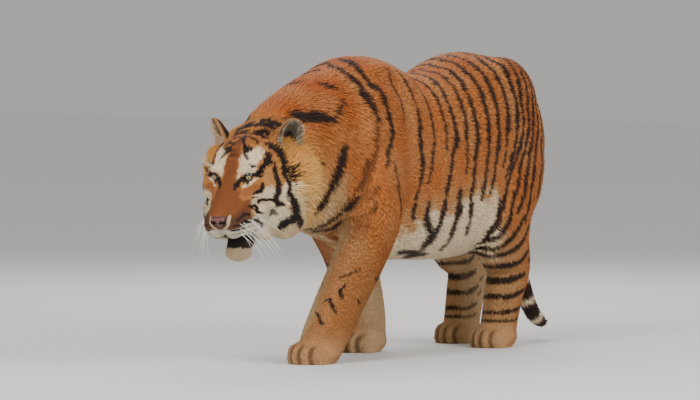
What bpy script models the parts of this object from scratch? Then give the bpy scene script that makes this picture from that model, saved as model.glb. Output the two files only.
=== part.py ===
"""A life-size Amur tiger that walks with its head low, as a museum model.

The animal faces -Y, its left side is +X and it stands on the plane Z = 0. The body is
modelled whole from lofted limbs and rounded muscles, fused, smoothed and reduced, and
then parted with thin cuts into the parts that a person would name.
"""

import math

import bmesh
import bpy
import numpy as np
from mathutils import Matrix, Vector

# ---- driving dimensions, in metres and degrees ------------------------------------------

GAP = 0.0004  # width of the thin cuts between neighbouring parts
MIDDLE_X = 0.0036  # the middle of the whole animal's box, seen from above,
MIDDLE_Y = -0.2360  # in the coordinates that the forms below are written in

CLAY_VOXEL = 0.0065  # grain of the fused body
BODY_SMOOTHING = 60  # smoothing passes over the trunk,
FACE_SMOOTHING = 5  # and over everything
BODY_FACETS = 4500  # triangles of the whole reduced body
RING_SIDES = 28

EYES_MID = Vector((0.019, -1.135, 0.600))  # midway between the two eyes
HEAD_YAW = 8.0  # turned a little to its left
HEAD_PITCH = 29.0  # how far the head points down
EYE_CENTRE = Vector((0.0525, 0.011, -0.001))  # the left eye, in the head's frame
EYE_AXIS = Vector((0.42, -0.85, 0.22))  # which way the left eye's opening faces
EYE_RADIUS = 0.0175
EAR_CENTRE = Vector((0.119, 0.208, 0.028))  # the left ear, in the head's frame
EAR_SIZE = Vector((0.047, 0.026, 0.064))  # half width, half depth and half height
EAR_FACING = (10.0, 24.0, 52.0)  # leans back, tilts out and turns out
NECK_CUT = 0.205  # how far behind the eyes the head ends

FUR = {"orange": (0.50, 0.20, 0.055, 1.0), "pale": (0.72, 0.58, 0.42, 1.0)}
IRIS = (0.45, 0.46, 0.20, 1.0)


# ---- small tools -----------------------------------------------------------------------


def clear_scene():
    for old in list(bpy.data.objects):
        bpy.data.objects.remove(old, do_unlink=True)


def material(name, colour, roughness):
    made = bpy.data.materials.new(name)
    made.use_nodes = True
    shader = made.node_tree.nodes["Principled BSDF"]
    shader.inputs["Base Color"].default_value = colour
    shader.inputs["Roughness"].default_value = roughness
    shader.inputs["Metallic"].default_value = 0.0
    return made


def add_object(name, mesh):
    made = bpy.data.objects.new(name, mesh)
    bpy.context.scene.collection.objects.link(made)
    return made


def curve_rows(keys, steps):
    """Rows read from a Catmull-Rom curve through the key rows, all columns alike."""
    keys = np.asarray(keys, float)
    ends = [2 * keys[0] - keys[1], *keys, 2 * keys[-1] - keys[-2]]
    rows = []
    for a, b, c, d in zip(ends, ends[1:], ends[2:], ends[3:]):
        for t in np.arange(steps) / steps:
            cubic = (3 * b - a - 3 * c + d) * t**3
            square = (2 * a - 5 * b + 4 * c - d) * t**2
            rows.append(0.5 * (2 * b + (c - a) * t + square + cubic))
    return np.array([*rows, keys[-1]])


def loft(name, keys, place=None, squareness=2.2, steps=4):
    """A closed tube through key rings: x, y, z, half side, half top and half bottom.

    Each ring stands across its path. Its side axis is the animal's left. Its top is the
    upper side of a part that runs backwards, and the back of one that runs down.
    """
    rows = curve_rows(keys, steps)
    centres = rows[:, :3]
    path = np.gradient(centres, axis=0)
    path /= np.linalg.norm(path, axis=1)[:, None]
    side = np.array([1.0, 0.0, 0.0]) - path * path[:, :1]
    side /= np.linalg.norm(side, axis=1)[:, None]
    top = np.cross(side, path)
    angles = 2 * math.pi * np.arange(RING_SIDES) / RING_SIDES
    power = 2 / squareness
    across = np.sign(np.cos(angles)) * np.abs(np.cos(angles)) ** power
    up = np.sign(np.sin(angles)) * np.abs(np.sin(angles)) ** power
    verts = []
    for centre, s, t, row in zip(centres, side, top, rows):
        half_side, half_top, half_bottom = np.maximum(row[3:6], 0.002)
        heights = up * np.where(up > 0, half_top, half_bottom)
        verts += list(centre + np.outer(across * half_side, s) + np.outer(heights, t))
    verts += [centres[0], centres[-1]]
    n, last = RING_SIDES, (len(rows) - 1) * RING_SIDES
    faces = []
    for k in range(n):
        following = (k + 1) % n
        for ring in range(0, last, n):
            faces.append((ring + k, ring + k + n, ring + following + n, ring + following))
        faces.append((len(verts) - 2, k, following))
        faces.append((len(verts) - 1, last + following, last + k))
    mesh = bpy.data.meshes.new(name)
    mesh.from_pydata([tuple(v) for v in verts], [], faces)
    if place is not None:
        mesh.transform(place)
    return add_object(name, mesh)


def turned(centre, turn, sizes):
    """A placement: sized, turned about x, then y, then z by degrees, and moved."""
    angles = [math.radians(a) for a in turn]
    return (
        Matrix.Translation(centre)
        @ Matrix.Rotation(angles[2], 4, "Z")
        @ Matrix.Rotation(angles[1], 4, "Y")
        @ Matrix.Rotation(angles[0], 4, "X")
        @ Matrix.Diagonal((*sizes, 1.0))
    )


def ball(name, centre, radii, turn=(0, 0, 0), place=None, rings=16):
    """An ellipsoid with its centre, radii along x, y and z, and turn in degrees."""
    shape = bmesh.new()
    bmesh.ops.create_uvsphere(shape, u_segments=rings * 3 // 2, v_segments=rings, radius=1.0)
    matrix = turned(centre, turn, radii)
    shape.transform(matrix if place is None else place @ matrix)
    mesh = bpy.data.meshes.new(name)
    shape.to_mesh(mesh)
    shape.free()
    return add_object(name, mesh)


def block(name, low, high, place=None):
    """A box between two corners."""
    middle = [(a + b) / 2 for a, b in zip(low, high)]
    sizes = [b - a for a, b in zip(low, high)]
    shape = bmesh.new()
    bmesh.ops.create_cube(shape, size=1.0)
    matrix = turned(middle, (0, 0, 0), sizes)
    shape.transform(matrix if place is None else place @ matrix)
    mesh = bpy.data.meshes.new(name)
    shape.to_mesh(mesh)
    shape.free()
    return add_object(name, mesh)


def head_place():
    """From the head's own frame to the body's: x left, y back, z up, midway between the eyes."""
    yaw = Matrix.Rotation(math.radians(HEAD_YAW), 4, "Z")
    pitch = Matrix.Rotation(math.radians(HEAD_PITCH), 4, "X")
    return Matrix.Translation(EYES_MID) @ yaw @ pitch


def mirrored(point, side):
    return (side * point[0], point[1], point[2])


def drop(objects):
    for obj in objects:
        bpy.data.objects.remove(obj, do_unlink=True)


def settle(obj):
    """The object's modifiers made part of its mesh."""
    bpy.context.view_layer.update()
    graph = bpy.context.evaluated_depsgraph_get()
    mesh = bpy.data.meshes.new_from_object(obj.evaluated_get(graph))
    obj.modifiers.clear()
    obj.data = mesh
    return obj


def combine(target, other, operation):
    """The target joined with, cut by or kept within the other, which is left as it is."""
    change = target.modifiers.new(operation.lower(), "BOOLEAN")
    change.operation = operation
    change.solver = "EXACT"
    change.object = other
    return settle(target)


def keep_largest(obj):
    """Only the largest connected piece of the object stays."""
    shape = bmesh.new()
    shape.from_mesh(obj.data)
    unseen = set(shape.verts)
    groups = []
    while unseen:
        group, edge = set(), [unseen.pop()]
        while edge:
            vert = edge.pop()
            group.add(vert)
            linked = {link.other_vert(vert) for link in vert.link_edges} & unseen
            unseen -= linked
            edge += linked
        groups.append(group)
    groups.sort(key=len, reverse=True)
    for group in groups[1:]:
        bmesh.ops.delete(shape, geom=list(group), context="VERTS")
    shape.to_mesh(obj.data)
    shape.free()
    return obj


# ---- the forms of the body ---------------------------------------------------------------


def trunk_forms():
    """Neck and trunk as one loft from nape to rump, with shoulders and haunches."""
    profile = [  # distance back, topline, underline, half width
        (-1.000, 0.755, 0.520, 0.095),
        (-0.920, 0.806, 0.475, 0.128),
        (-0.800, 0.862, 0.432, 0.152),
        (-0.680, 0.908, 0.398, 0.172),
        (-0.560, 0.948, 0.366, 0.190),
        (-0.450, 0.980, 0.340, 0.203),
        (-0.350, 0.972, 0.322, 0.210),
        (-0.220, 0.914, 0.304, 0.214),
        (-0.080, 0.917, 0.292, 0.222),
        (0.080, 0.940, 0.288, 0.231),
        (0.220, 0.982, 0.296, 0.228),
        (0.340, 1.000, 0.340, 0.214),
        (0.450, 0.984, 0.430, 0.194),
        (0.532, 0.932, 0.530, 0.158),
        (0.578, 0.870, 0.640, 0.105),
    ]
    rows = []
    for y, high, low, half in profile:
        middle = 0.52 * high + 0.48 * low
        rows.append((0, y, middle, half, high - middle, middle - low))
    forms = [loft("trunk_form", rows)]
    for side, reach in ((1, -0.025), (-1, 0.045)):
        forms += [
            ball("shoulder_blade", (side * 0.080, -0.412 + reach * 0.5, 0.818),
                 (0.062, 0.135, 0.148), (14, side * 16, 0)),
            ball("shoulder_muscle", (side * 0.128, -0.450 + reach, 0.680),
                 (0.092, 0.165, 0.215), (12, side * 8, 0)),
            ball("rump_muscle", (side * 0.092, 0.350, 0.800), (0.104, 0.180, 0.170)),
            ball("flank_muscle", (side * 0.112, 0.330, 0.600), (0.098, 0.195, 0.230), (8, 0, 0)),
        ]
    return forms


def front_leg(side, joints, paw):
    """Shoulder to wrist: half width and half depth of the leg, set on its joints, and the paw."""
    widths = [(0.020, 0.030), (0.072, 0.120), (0.086, 0.116), (0.087, 0.104), (0.083, 0.090),
              (0.078, 0.084), (0.075, 0.080), (0.074, 0.074), (0.066, 0.066)]
    keys = []
    for (x, y, z), (half, deep) in zip(joints, widths):
        keys.append((side * x, y, z, half, deep, deep))
    return [loft("front_leg_form", keys), *paw_forms(side * paw[0], paw[1], 0.078, 0.096)]


def hind_leg(side, joints, paw):
    """Hip to foot: half width, back and front depth of the leg, set on its joints, and the paw."""
    widths = [(0.020, 0.050, 0.050), (0.078, 0.165, 0.160), (0.092, 0.160, 0.165),
              (0.090, 0.130, 0.150), (0.080, 0.094, 0.142), (0.067, 0.080, 0.104),
              (0.062, 0.068, 0.082), (0.062, 0.058, 0.064), (0.060, 0.052, 0.056)]
    keys = [(side * x, y, z, *width) for (x, y, z), width in zip(joints, widths)]
    return [loft("hind_leg_form", keys), *paw_forms(side * paw[0], paw[1], 0.071, 0.090)]


def paw_forms(x, y, half_width, half_length):
    """A broad pad with four toes, the middle two furthest forward."""
    pad = (half_width * 0.98, half_length * 0.90, 0.052)
    forms = [ball("pad_form", (x, y + 0.012, 0.036), pad)]
    for place, reach in ((-0.70, 0.42), (-0.25, 0.64), (0.25, 0.64), (0.70, 0.42)):
        toe = (x + place * half_width, y - reach * half_length, 0.026)
        sizes = (half_width * 0.30, half_length * 0.46, 0.042)
        forms.append(ball("toe_form", toe, sizes, (-10, 0, -place * 18)))
    return forms


def tail_form():
    """The tail hangs close behind the rump, and its tip swings back clear of the floor."""
    keys = [  # x, y, z and half thickness
        (0.000, 0.480, 0.900, 0.050),
        (0.000, 0.570, 0.850, 0.046),
        (0.000, 0.612, 0.740, 0.040),
        (0.000, 0.618, 0.600, 0.036),
        (0.000, 0.612, 0.450, 0.034),
        (0.000, 0.614, 0.330, 0.034),
        (0.000, 0.632, 0.235, 0.034),
        (0.002, 0.662, 0.155, 0.033),
        (0.006, 0.704, 0.092, 0.031),
        (0.010, 0.750, 0.060, 0.025),
        (0.012, 0.776, 0.056, 0.010),
    ]
    return loft("tail_form", [(x, y, z, r, r, r) for x, y, z, r in keys], squareness=2.0)


def head_forms():
    """Skull, nose, muzzle, jaw and cheek ruff, in the head's own frame."""
    place = head_place()
    face = [
        (0, -0.146, -0.080, 0.024, 0.018, 0.022),
        (0, -0.130, -0.084, 0.042, 0.028, 0.036),
        (0, -0.105, -0.082, 0.056, 0.042, 0.050),
        (0, -0.070, -0.077, 0.064, 0.052, 0.056),
        (0, -0.030, -0.066, 0.073, 0.062, 0.064),
        (0, 0.010, -0.052, 0.090, 0.074, 0.076),
        (0, 0.050, -0.042, 0.108, 0.096, 0.088),
        (0, 0.090, -0.038, 0.120, 0.107, 0.096),
        (0, 0.140, -0.036, 0.128, 0.110, 0.105),
        (0, 0.210, -0.040, 0.134, 0.104, 0.120),
    ]
    bridge = [
        (0, -0.154, -0.074, 0.020, 0.010, 0.018),
        (0, -0.140, -0.064, 0.028, 0.020, 0.030),
        (0, -0.100, -0.052, 0.032, 0.024, 0.030),
        (0, -0.055, -0.038, 0.033, 0.028, 0.030),
        (0, -0.015, -0.018, 0.037, 0.030, 0.030),
        (0, 0.020, -0.004, 0.046, 0.034, 0.030),
        (0, 0.060, 0.010, 0.060, 0.040, 0.040),
    ]
    lower_jaw = [
        (0, -0.100, -0.220, 0.022, 0.012, 0.016),
        (0, -0.084, -0.219, 0.036, 0.030, 0.028),
        (0, -0.045, -0.210, 0.045, 0.042, 0.034),
        (0, 0.010, -0.188, 0.058, 0.046, 0.042),
        (0, 0.070, -0.152, 0.076, 0.050, 0.054),
        (0, 0.150, -0.130, 0.085, 0.050, 0.070),
    ]
    forms = [
        loft("face_form", face, place, 1.9),
        loft("bridge_form", bridge, place, 2.5),
        loft("lower_jaw_form", lower_jaw, place),
        ball("nape_form", (0, 0.225, -0.020), (0.120, 0.100, 0.092), place=place),
        ball("chin_form", (0, -0.072, -0.226), (0.043, 0.036, 0.031), place=place),
    ]
    for side in (-1, 1):
        pieces = [
            ((0.034, -0.108, -0.104), (0.037, 0.044, 0.044), (0, 0, 0)),  # whisker pad
            ((0.050, -0.070, -0.117), (0.037, 0.060, 0.045), (0, 0, 0)),  # side of the lip
            ((0.064, -0.010, -0.134), (0.038, 0.056, 0.046), (0, 0, 0)),  # mouth's corner
            ((0.050, 0.020, 0.018), (0.034, 0.032, 0.020), (0, 0, 0)),  # brow
            ((0.086, 0.045, -0.052), (0.041, 0.062, 0.054), (0, 0, 0)),  # cheekbone
            ((0.086, 0.085, -0.108), (0.058, 0.082, 0.080), (0, 0, 0)),  # cheek
            ((0.117, 0.180, -0.104), (0.072, 0.076, 0.102), (-14, 0, 0)),  # upper ruff
            ((0.104, 0.082, -0.180), (0.066, 0.084, 0.084), (-18, 0, 0)),  # lower ruff
            ((0.066, 0.022, -0.178), (0.045, 0.076, 0.052), (-10, 0, 0)),  # jowl
        ]
        for centre, radii, turn in pieces:
            forms.append(ball("head_form", mirrored(centre, side), radii, turn, place))
    return forms


# ---- fusing and parting ------------------------------------------------------------------


def fuse(forms):
    """One closed skin round all the forms, smoothed as flesh and fur smooth a body."""
    mesh = bpy.data.meshes.new("whole")
    whole = bmesh.new()
    for form in forms:
        whole.from_mesh(form.data)
    bmesh.ops.recalc_face_normals(whole, faces=whole.faces)
    whole.to_mesh(mesh)
    whole.free()
    drop(forms)
    body = add_object("whole", mesh)
    remesh = body.modifiers.new("fuse", "REMESH")
    remesh.mode = "VOXEL"
    remesh.voxel_size = CLAY_VOXEL
    settle(body)
    weigh(body, trunk=1.0, head=0.08, cheeks=0.38, legs=0.45, tail=0.20)
    for passes, group in ((FACE_SMOOTHING, ""), (BODY_SMOOTHING, "plain")):
        soften = body.modifiers.new("soften", "SMOOTH")
        soften.factor = 0.5
        soften.iterations = passes
        soften.vertex_group = group
    return settle(body)


def weigh(body, trunk, head, cheeks, legs, tail):
    """A vertex group of the weights given for the five kinds of part, blended between them."""
    to_head = head_place().inverted()
    body.vertex_groups.clear()
    group = body.vertex_groups.new(name="plain")
    for vert in body.data.vertices:
        at = vert.co
        behind = (to_head @ at).y
        weight = trunk
        if at.z < 0.30:
            weight += (legs - trunk) * min(1.0, (0.30 - at.z) / 0.10)
        elif at.y < -0.80:
            own = head + (cheeks - head) * min(1.0, max(0.0, behind / 0.06))
            weight += (own - trunk) * min(1.0, max(0.0, (0.30 - behind) / 0.16))
        elif at.y > 0.56 and abs(at.x) < 0.06:
            weight += (tail - trunk) * min(1.0, (at.y - 0.56) / 0.03)
        group.add([vert.index], weight, "REPLACE")


def reduce(body):
    """Fewer facets, about three times finer on the head than on the trunk."""
    weigh(body, trunk=0.90, head=0.70, cheeks=0.70, legs=0.87, tail=0.84)
    fewer = body.modifiers.new("reduce", "DECIMATE")
    fewer.ratio = BODY_FACETS / (2 * len(body.data.polygons))
    fewer.vertex_group = "plain"
    fewer.vertex_group_factor = 1.0
    fewer.use_collapse_triangulate = True
    settle(body)
    body.vertex_groups.clear()
    return body


def cut_away(body, name, low, high, place=None):
    """The part of the body within a box becomes its own object, a thin gap away."""
    inner = block("inner", low, high, place)
    outer = block("outer", [v - GAP for v in low], [v + GAP for v in high], place)
    part = add_object(name, body.data.copy())
    keep_largest(combine(part, inner, "INTERSECT"))
    keep_largest(combine(body, outer, "DIFFERENCE"))
    drop([inner, outer])
    return part


def carve_eyes(body):
    """Hollows before the eyes, sockets round them, and the two eyeballs themselves."""
    place = head_place()
    eyes = {}
    for side, word in ((1, "left"), (-1, "right")):
        centre = Vector(mirrored(EYE_CENTRE, side))
        outward = Vector(mirrored(EYE_AXIS, side)).normalized()
        opening = centre + outward * 0.019
        hollow = ball("hollow", opening, (0.021,) * 3, place=place, rings=8)
        socket = ball("socket", centre, (EYE_RADIUS + GAP,) * 3, place=place, rings=10)
        for cutter in (hollow, socket):
            combine(body, cutter, "DIFFERENCE")
        drop([hollow, socket])
        eye = ball("eye_" + word, centre, (EYE_RADIUS,) * 3, place=place, rings=10)
        eyes["eye_" + word] = eye
    return eyes


def ear(side):
    """A rounded ear as a cup that opens forwards and outwards."""
    width, depth, height = EAR_SIZE
    lean, tilt, turn = EAR_FACING
    facing = turned(mirrored(EAR_CENTRE, side), (lean, side * tilt, side * turn), (1, 1, 1))
    place = head_place() @ facing
    cup = ball("ear", (0, 0, 0), EAR_SIZE, place=place, rings=10)
    inner = (width * 0.80, depth * 0.92, height * 0.82)
    mouth = ball("mouth", (0, -0.020, 0.002), inner, place=place, rings=10)
    combine(cup, mouth, "DIFFERENCE")
    drop([mouth])
    return cup


def add_ears(body):
    """Each ear stops a thin gap above the head that it grows from."""
    ears = {}
    swollen = add_object("swollen", body.data.copy())
    for vert in swollen.data.vertices:
        vert.co += vert.normal * GAP * 1.5
    for side, word in ((1, "left"), (-1, "right")):
        grown = ear(side)
        ears["ear_" + word] = keep_largest(combine(grown, swollen, "DIFFERENCE"))
    drop([swollen])
    return ears


def part_body(body):
    """The legs and the tail come off first, then the head and the neck; the trunk is left."""
    head = head_place()
    cuts = [
        ("forepaw_left", (0.01, -1.00, -0.1), (0.30, -0.60, 0.100), None),
        ("forepaw_right", (-0.30, -0.35, -0.1), (-0.01, -0.02, 0.100), None),
        ("hindpaw_left", (0.01, 0.10, -0.1), (0.30, 0.45, 0.095), None),
        ("hindpaw_right", (-0.30, 0.25, -0.1), (-0.01, 0.60, 0.095), None),
        ("lower_foreleg_left", (0.02, -1.00, 0.0), (0.30, -0.44, 0.320), None),
        ("lower_foreleg_right", (-0.30, -0.45, 0.0), (-0.04, 0.00, 0.285), None),
        ("lower_hindleg_left", (0.04, 0.15, 0.0), (0.30, 0.56, 0.300), None),
        ("lower_hindleg_right", (-0.30, 0.25, 0.0), (-0.04, 0.75, 0.300), None),
        ("upper_foreleg_left", (0.085, -0.80, 0.1), (0.30, -0.34, 0.640), None),
        ("upper_foreleg_right", (-0.30, -0.64, 0.1), (-0.085, -0.14, 0.640), None),
        ("thigh_left", (0.075, 0.17, 0.1), (0.30, 0.60, 0.660), None),
        ("thigh_right", (-0.30, 0.25, 0.1), (-0.075, 0.70, 0.660), None),
        ("tail_tip", (-0.10, 0.50, -0.1), (0.10, 0.90, 0.190), None),
        ("tail_middle", (-0.10, 0.52, 0.1), (0.10, 0.90, 0.480), None),
        ("tail_base", (-0.056, 0.572, 0.4), (0.056, 0.90, 0.950), None),
        ("lower_jaw", (-0.060, -0.20, -0.38), (0.060, 0.00, -0.166), head),
        ("head", (-0.40, -0.30, -0.45), (0.40, NECK_CUT, 0.30), head),
        ("neck", (-0.40, -1.40, 0.2), (0.40, -0.62, 1.2), None),
    ]
    parts = {}
    for name, low, high, place in cuts:
        parts[name] = cut_away(body, name, low, high, place)
    parts["trunk"] = body
    return parts


def main():
    clear_scene()
    orange = material("orange_fur", FUR["orange"], 0.9)
    pale = material("pale_fur", FUR["pale"], 0.9)
    iris = material("eye", IRIS, 0.15)

    forms = trunk_forms() + head_forms() + [tail_form()]
    forms += front_leg(1, [
        (0.110, -0.450, 0.800), (0.138, -0.470, 0.680), (0.158, -0.500, 0.560),
        (0.163, -0.540, 0.450), (0.155, -0.600, 0.340), (0.142, -0.672, 0.230),
        (0.130, -0.728, 0.140), (0.121, -0.765, 0.075), (0.116, -0.785, 0.035)],
        (0.112, -0.800))
    forms += front_leg(-1, [
        (0.110, -0.430, 0.780), (0.134, -0.410, 0.660), (0.150, -0.365, 0.540),
        (0.150, -0.290, 0.440), (0.142, -0.226, 0.340), (0.133, -0.182, 0.230),
        (0.123, -0.165, 0.140), (0.116, -0.165, 0.075), (0.112, -0.170, 0.035)],
        (0.110, -0.185))
    forms += hind_leg(1, [
        (0.080, 0.400, 0.820), (0.112, 0.385, 0.700), (0.136, 0.345, 0.580),
        (0.148, 0.290, 0.470), (0.136, 0.316, 0.360), (0.126, 0.360, 0.265),
        (0.122, 0.330, 0.170), (0.120, 0.304, 0.080), (0.120, 0.290, 0.035)],
        (0.120, 0.272))
    forms += hind_leg(-1, [
        (0.080, 0.410, 0.820), (0.112, 0.415, 0.700), (0.136, 0.410, 0.580),
        (0.152, 0.400, 0.470), (0.146, 0.465, 0.360), (0.136, 0.530, 0.265),
        (0.131, 0.498, 0.170), (0.126, 0.465, 0.080), (0.122, 0.450, 0.035)],
        (0.120, 0.432))
    body = fuse(forms)
    reduce(body)
    floor = block("floor", (-1, -2, -0.2), (1, 2, 0))
    combine(body, floor, "DIFFERENCE")
    drop([floor])
    parts = carve_eyes(body)
    parts.update(add_ears(body))
    parts.update(part_body(body))
    home = Matrix.Translation((-MIDDLE_X, -MIDDLE_Y, 0))
    for name, obj in parts.items():
        obj.name = name
        obj.data.transform(home)
        fur = pale if "paw" in name or name in ("lower_jaw", "tail_tip") else orange
        obj.data.materials.clear()
        obj.data.materials.append(iris if name.startswith("eye") else fur)


main()
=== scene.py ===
"""A walking Amur tiger: one skin, its coat of tufts, eyes, whiskers and claws."""

import math

import bmesh
import bpy
import numpy as np
from mathutils import Matrix, Vector


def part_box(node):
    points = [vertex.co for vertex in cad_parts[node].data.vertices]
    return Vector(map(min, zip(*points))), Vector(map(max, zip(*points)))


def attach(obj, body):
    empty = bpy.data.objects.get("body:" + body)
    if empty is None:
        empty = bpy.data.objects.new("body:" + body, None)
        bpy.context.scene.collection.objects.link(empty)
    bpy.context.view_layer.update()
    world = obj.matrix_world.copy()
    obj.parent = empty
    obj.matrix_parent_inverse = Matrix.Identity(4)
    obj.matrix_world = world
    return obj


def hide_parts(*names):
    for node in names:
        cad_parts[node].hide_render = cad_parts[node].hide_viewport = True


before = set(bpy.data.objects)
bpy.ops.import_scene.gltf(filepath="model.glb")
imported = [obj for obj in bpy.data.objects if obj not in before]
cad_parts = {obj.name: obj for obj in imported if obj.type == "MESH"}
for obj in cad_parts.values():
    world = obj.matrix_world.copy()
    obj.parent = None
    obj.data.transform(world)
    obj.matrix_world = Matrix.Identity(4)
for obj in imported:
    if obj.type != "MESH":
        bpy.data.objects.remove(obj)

# ---- main sizes, in metres and degrees ----

BODY_GRAIN, HEAD_GRAIN = 0.0065, 0.0034  # how fine the clay is
BODY_SHARE, HEAD_SHARE = 0.27, 0.62  # of the clay's triangles that stay
RING_SIDES = 28
EYES_MID = Vector((0.019, -1.135, 0.600))
HEAD_YAW, HEAD_PITCH = 8.0, 29.0
EYE_CENTRE = np.array(Vector((0.0525, 0.011, -0.001)))
EYE_AHEAD = np.array(Vector((0.42, -0.85, 0.22)).normalized())
EYE_RADIUS = 0.0175
LID_REACH = 0.034  # the lids' rims lie this near the eye's middle
EAR_CENTRE = Vector((0.119, 0.208, 0.028))
EAR_SIZE = Vector((0.045, 0.024, 0.060))
EAR_FACING = (10.0, 24.0, 52.0)
FACE_MIDDLE = np.array([0.0, 0.10, -0.06])  # where the marks of the face are measured from
NOSE_TIP = np.array([0.0, -0.150, -0.058])
PATCH = 0.003  # width of a tuft's place on the coat's map
HAIR_ROOT = 0.0012  # how deep under the skin a tuft starts
HAIR_FLOOR = 0.0006  # the lowest that a tuft may reach
SOLE_HEIGHT = 0.010  # no hair grows downwards below it
HEAD_COAT_END, BODY_COAT_START = 0.195, 0.150  # behind the eyes; they overlap in the ruff
EAR_TUFTS = 170000  # per square metre
WHISKER_HALF, BROW_HAIR_HALF, BROW_HAIR = 0.00095, 0.0006, 0.062  # half widths, length
CLAW_LENGTH, CLAW_DROP, CLAW_HALF = 0.012, 0.010, 0.0030
PUPIL, IRIS_EDGE = (9.5, 11.0), (26, 29)  # degrees from the eye's pole, where they fade
PAD_MIDDLE, PAD_HALF, PAD_FRONT = -0.0745, 0.0215, -0.122  # the nose pad's height and reach
SKIN_PAINTED_SHADE = 0.93  # painted shade: the skin is a little darker than the coat over it, as shaded by the hair

rng = np.random.default_rng(11)


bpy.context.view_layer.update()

# ---- small tools ----


def ramp(value, start, end):
    """0 before start, 1 after end, and smooth between them."""
    t = np.clip((np.asarray(value, float) - start) / (end - start), 0, 1)
    return t * t * (3 - 2 * t)


def fall(value, start, end):
    return 1 - ramp(value, start, end)


def norm(vectors):
    return np.linalg.norm(vectors, axis=-1)


def unit(vectors):
    return vectors / (norm(vectors)[..., None] + 1e-12)


def mm(rows):
    """Millimetres to metres."""
    return np.array(rows) / 1000


def columns(*parts):
    return np.stack(parts, 1)


def paint(red, green, blue):
    """A colour as mixed on a palette from 0 to 255, made linear."""
    c = np.array([red, green, blue]) / 255
    return np.where(c < 0.04045, c / 12.92, ((c + 0.055) / 1.055) ** 2.4)


def layers(base, *coats):
    """The base under coats of other values, each laid on by its share from 0 to 1."""
    base = np.asarray(base, float)
    for value, share in coats:
        base = base + (value - base) * np.clip(share, 0, 1)[..., None]
    return base


def wander(points, size, seed):
    """Smooth noise from about -1 to 1, whose waves are about this size."""
    waves = np.random.default_rng(seed)
    total = np.zeros(len(points))
    for _ in range(7):
        way = unit(waves.normal(size=3)) * 2 * math.pi / (size * waves.uniform(0.7, 1.6))
        total += np.sin(points @ way + waves.uniform(0, 6.28))
    return total / 2.6


def sway(points, size, seed):
    return columns(wander(points, size, seed), wander(points, size, seed + 1))


def path_distance(points, path):
    """Distance to a path, and how far along it the nearest place is, from 0 to 1."""
    lengths = norm(np.diff(path, axis=0))
    starts = np.concatenate([[0], np.cumsum(lengths)])
    best = np.full(len(points), 1e9)
    along = np.zeros(len(points))
    for a, b, length, start in zip(path, path[1:], lengths, starts):
        t = np.clip(((points - a) @ (b - a)) / length**2, 0, 1)
        gap = norm(points - a - t[:, None] * (b - a))
        near = gap < best
        best[near] = gap[near]
        along[near] = (start + t[near] * length) / starts[-1]
    return best, along


def path_way(points, path):
    """The path's direction at the place on it that is nearest to each point."""
    _, along = path_distance(points, path)
    steps = unit(np.diff(path, axis=0))
    return steps[np.clip((along * len(steps)).astype(int), 0, len(steps) - 1)]


def curve_rows(keys, steps):
    """Rows read from a Catmull-Rom curve through the key rows, all columns alike."""
    keys = np.asarray(keys, float)
    ends = [2 * keys[0] - keys[1], *keys, 2 * keys[-1] - keys[-2]]
    rows = []
    for a, b, c, d in zip(ends, ends[1:], ends[2:], ends[3:]):
        for t in np.arange(steps) / steps:
            cubic = (3 * b - a - 3 * c + d) * t**3
            square = (2 * a - 5 * b + 4 * c - d) * t**2
            rows.append(0.5 * (2 * b + (c - a) * t + square + cubic))
    return np.array([*rows, keys[-1]])


def add_object(name, mesh):
    made = bpy.data.objects.new(name, mesh)
    bpy.context.scene.collection.objects.link(made)
    return made


def settle(obj):
    """The object's modifiers made part of its mesh."""
    bpy.context.view_layer.update()
    graph = bpy.context.evaluated_depsgraph_get()
    mesh = bpy.data.meshes.new_from_object(obj.evaluated_get(graph))
    obj.modifiers.clear()
    obj.data = mesh
    return obj


def moved(points, place):
    if place is None:
        return points
    place = np.array(place)
    return points @ place[:3, :3].T + place[:3, 3]


def loft(keys, place=None, squareness=2.2, steps=4):
    """A closed tube through key rings: x, y, z, half side, half top and half bottom."""
    rows = curve_rows(keys, steps)
    centres = rows[:, :3]
    way = unit(np.gradient(centres, axis=0))
    side = unit(np.array([1.0, 0.0, 0.0]) - way * way[:, :1])
    top = np.cross(side, way)
    angles = 2 * math.pi * np.arange(RING_SIDES) / RING_SIDES
    across, up = (np.sign(v) * np.abs(v) ** (2 / squareness)
                  for v in (np.cos(angles), np.sin(angles)))
    verts = []
    for centre, s, t, row in zip(centres, side, top, rows):
        half_side, half_top, half_bottom = np.maximum(row[3:6], 0.002)
        heights = up * np.where(up > 0, half_top, half_bottom)
        verts += list(centre + np.outer(across * half_side, s) + np.outer(heights, t))
    verts += [centres[0], centres[-1]]
    n, last = RING_SIDES, (len(rows) - 1) * RING_SIDES
    faces = []
    for k in range(n):
        after = (k + 1) % n
        for ring in range(0, last, n):
            faces.append((ring + k, ring + k + n, ring + after + n, ring + after))
        faces += [(len(verts) - 2, k, after), (len(verts) - 1, last + after, last + k)]
    return moved(np.array(verts), place), faces


def turned(centre, turn, sizes):
    """A placement: sized, turned about x, then y, then z by degrees, and moved."""
    x, y, z = (Matrix.Rotation(math.radians(a), 4, axis) for a, axis in zip(turn, "XYZ"))
    return Matrix.Translation(centre) @ z @ y @ x @ Matrix.Diagonal((*sizes, 1.0))


def ball(centre, radii, turn=(0, 0, 0), place=None, rings=20):
    """An ellipsoid: its centre, its radii along x, y and z, and its turn in degrees."""
    shape = bmesh.new()
    bmesh.ops.create_uvsphere(shape, u_segments=rings * 3 // 2, v_segments=rings, radius=1.0)
    matrix = turned(centre, turn, radii)
    shape.transform(matrix if place is None else place @ matrix)
    verts = np.array([v.co[:] for v in shape.verts])
    faces = [tuple(v.index for v in f.verts) for f in shape.faces]
    shape.free()
    return verts, faces


def join(parts):
    """Several lists of points and faces as one."""
    verts, faces = [], []
    for points, sides in parts:
        faces += [[index + len(verts) for index in side] for side in sides]
        verts += [tuple(point) for point in points]
    return verts, faces


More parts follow.
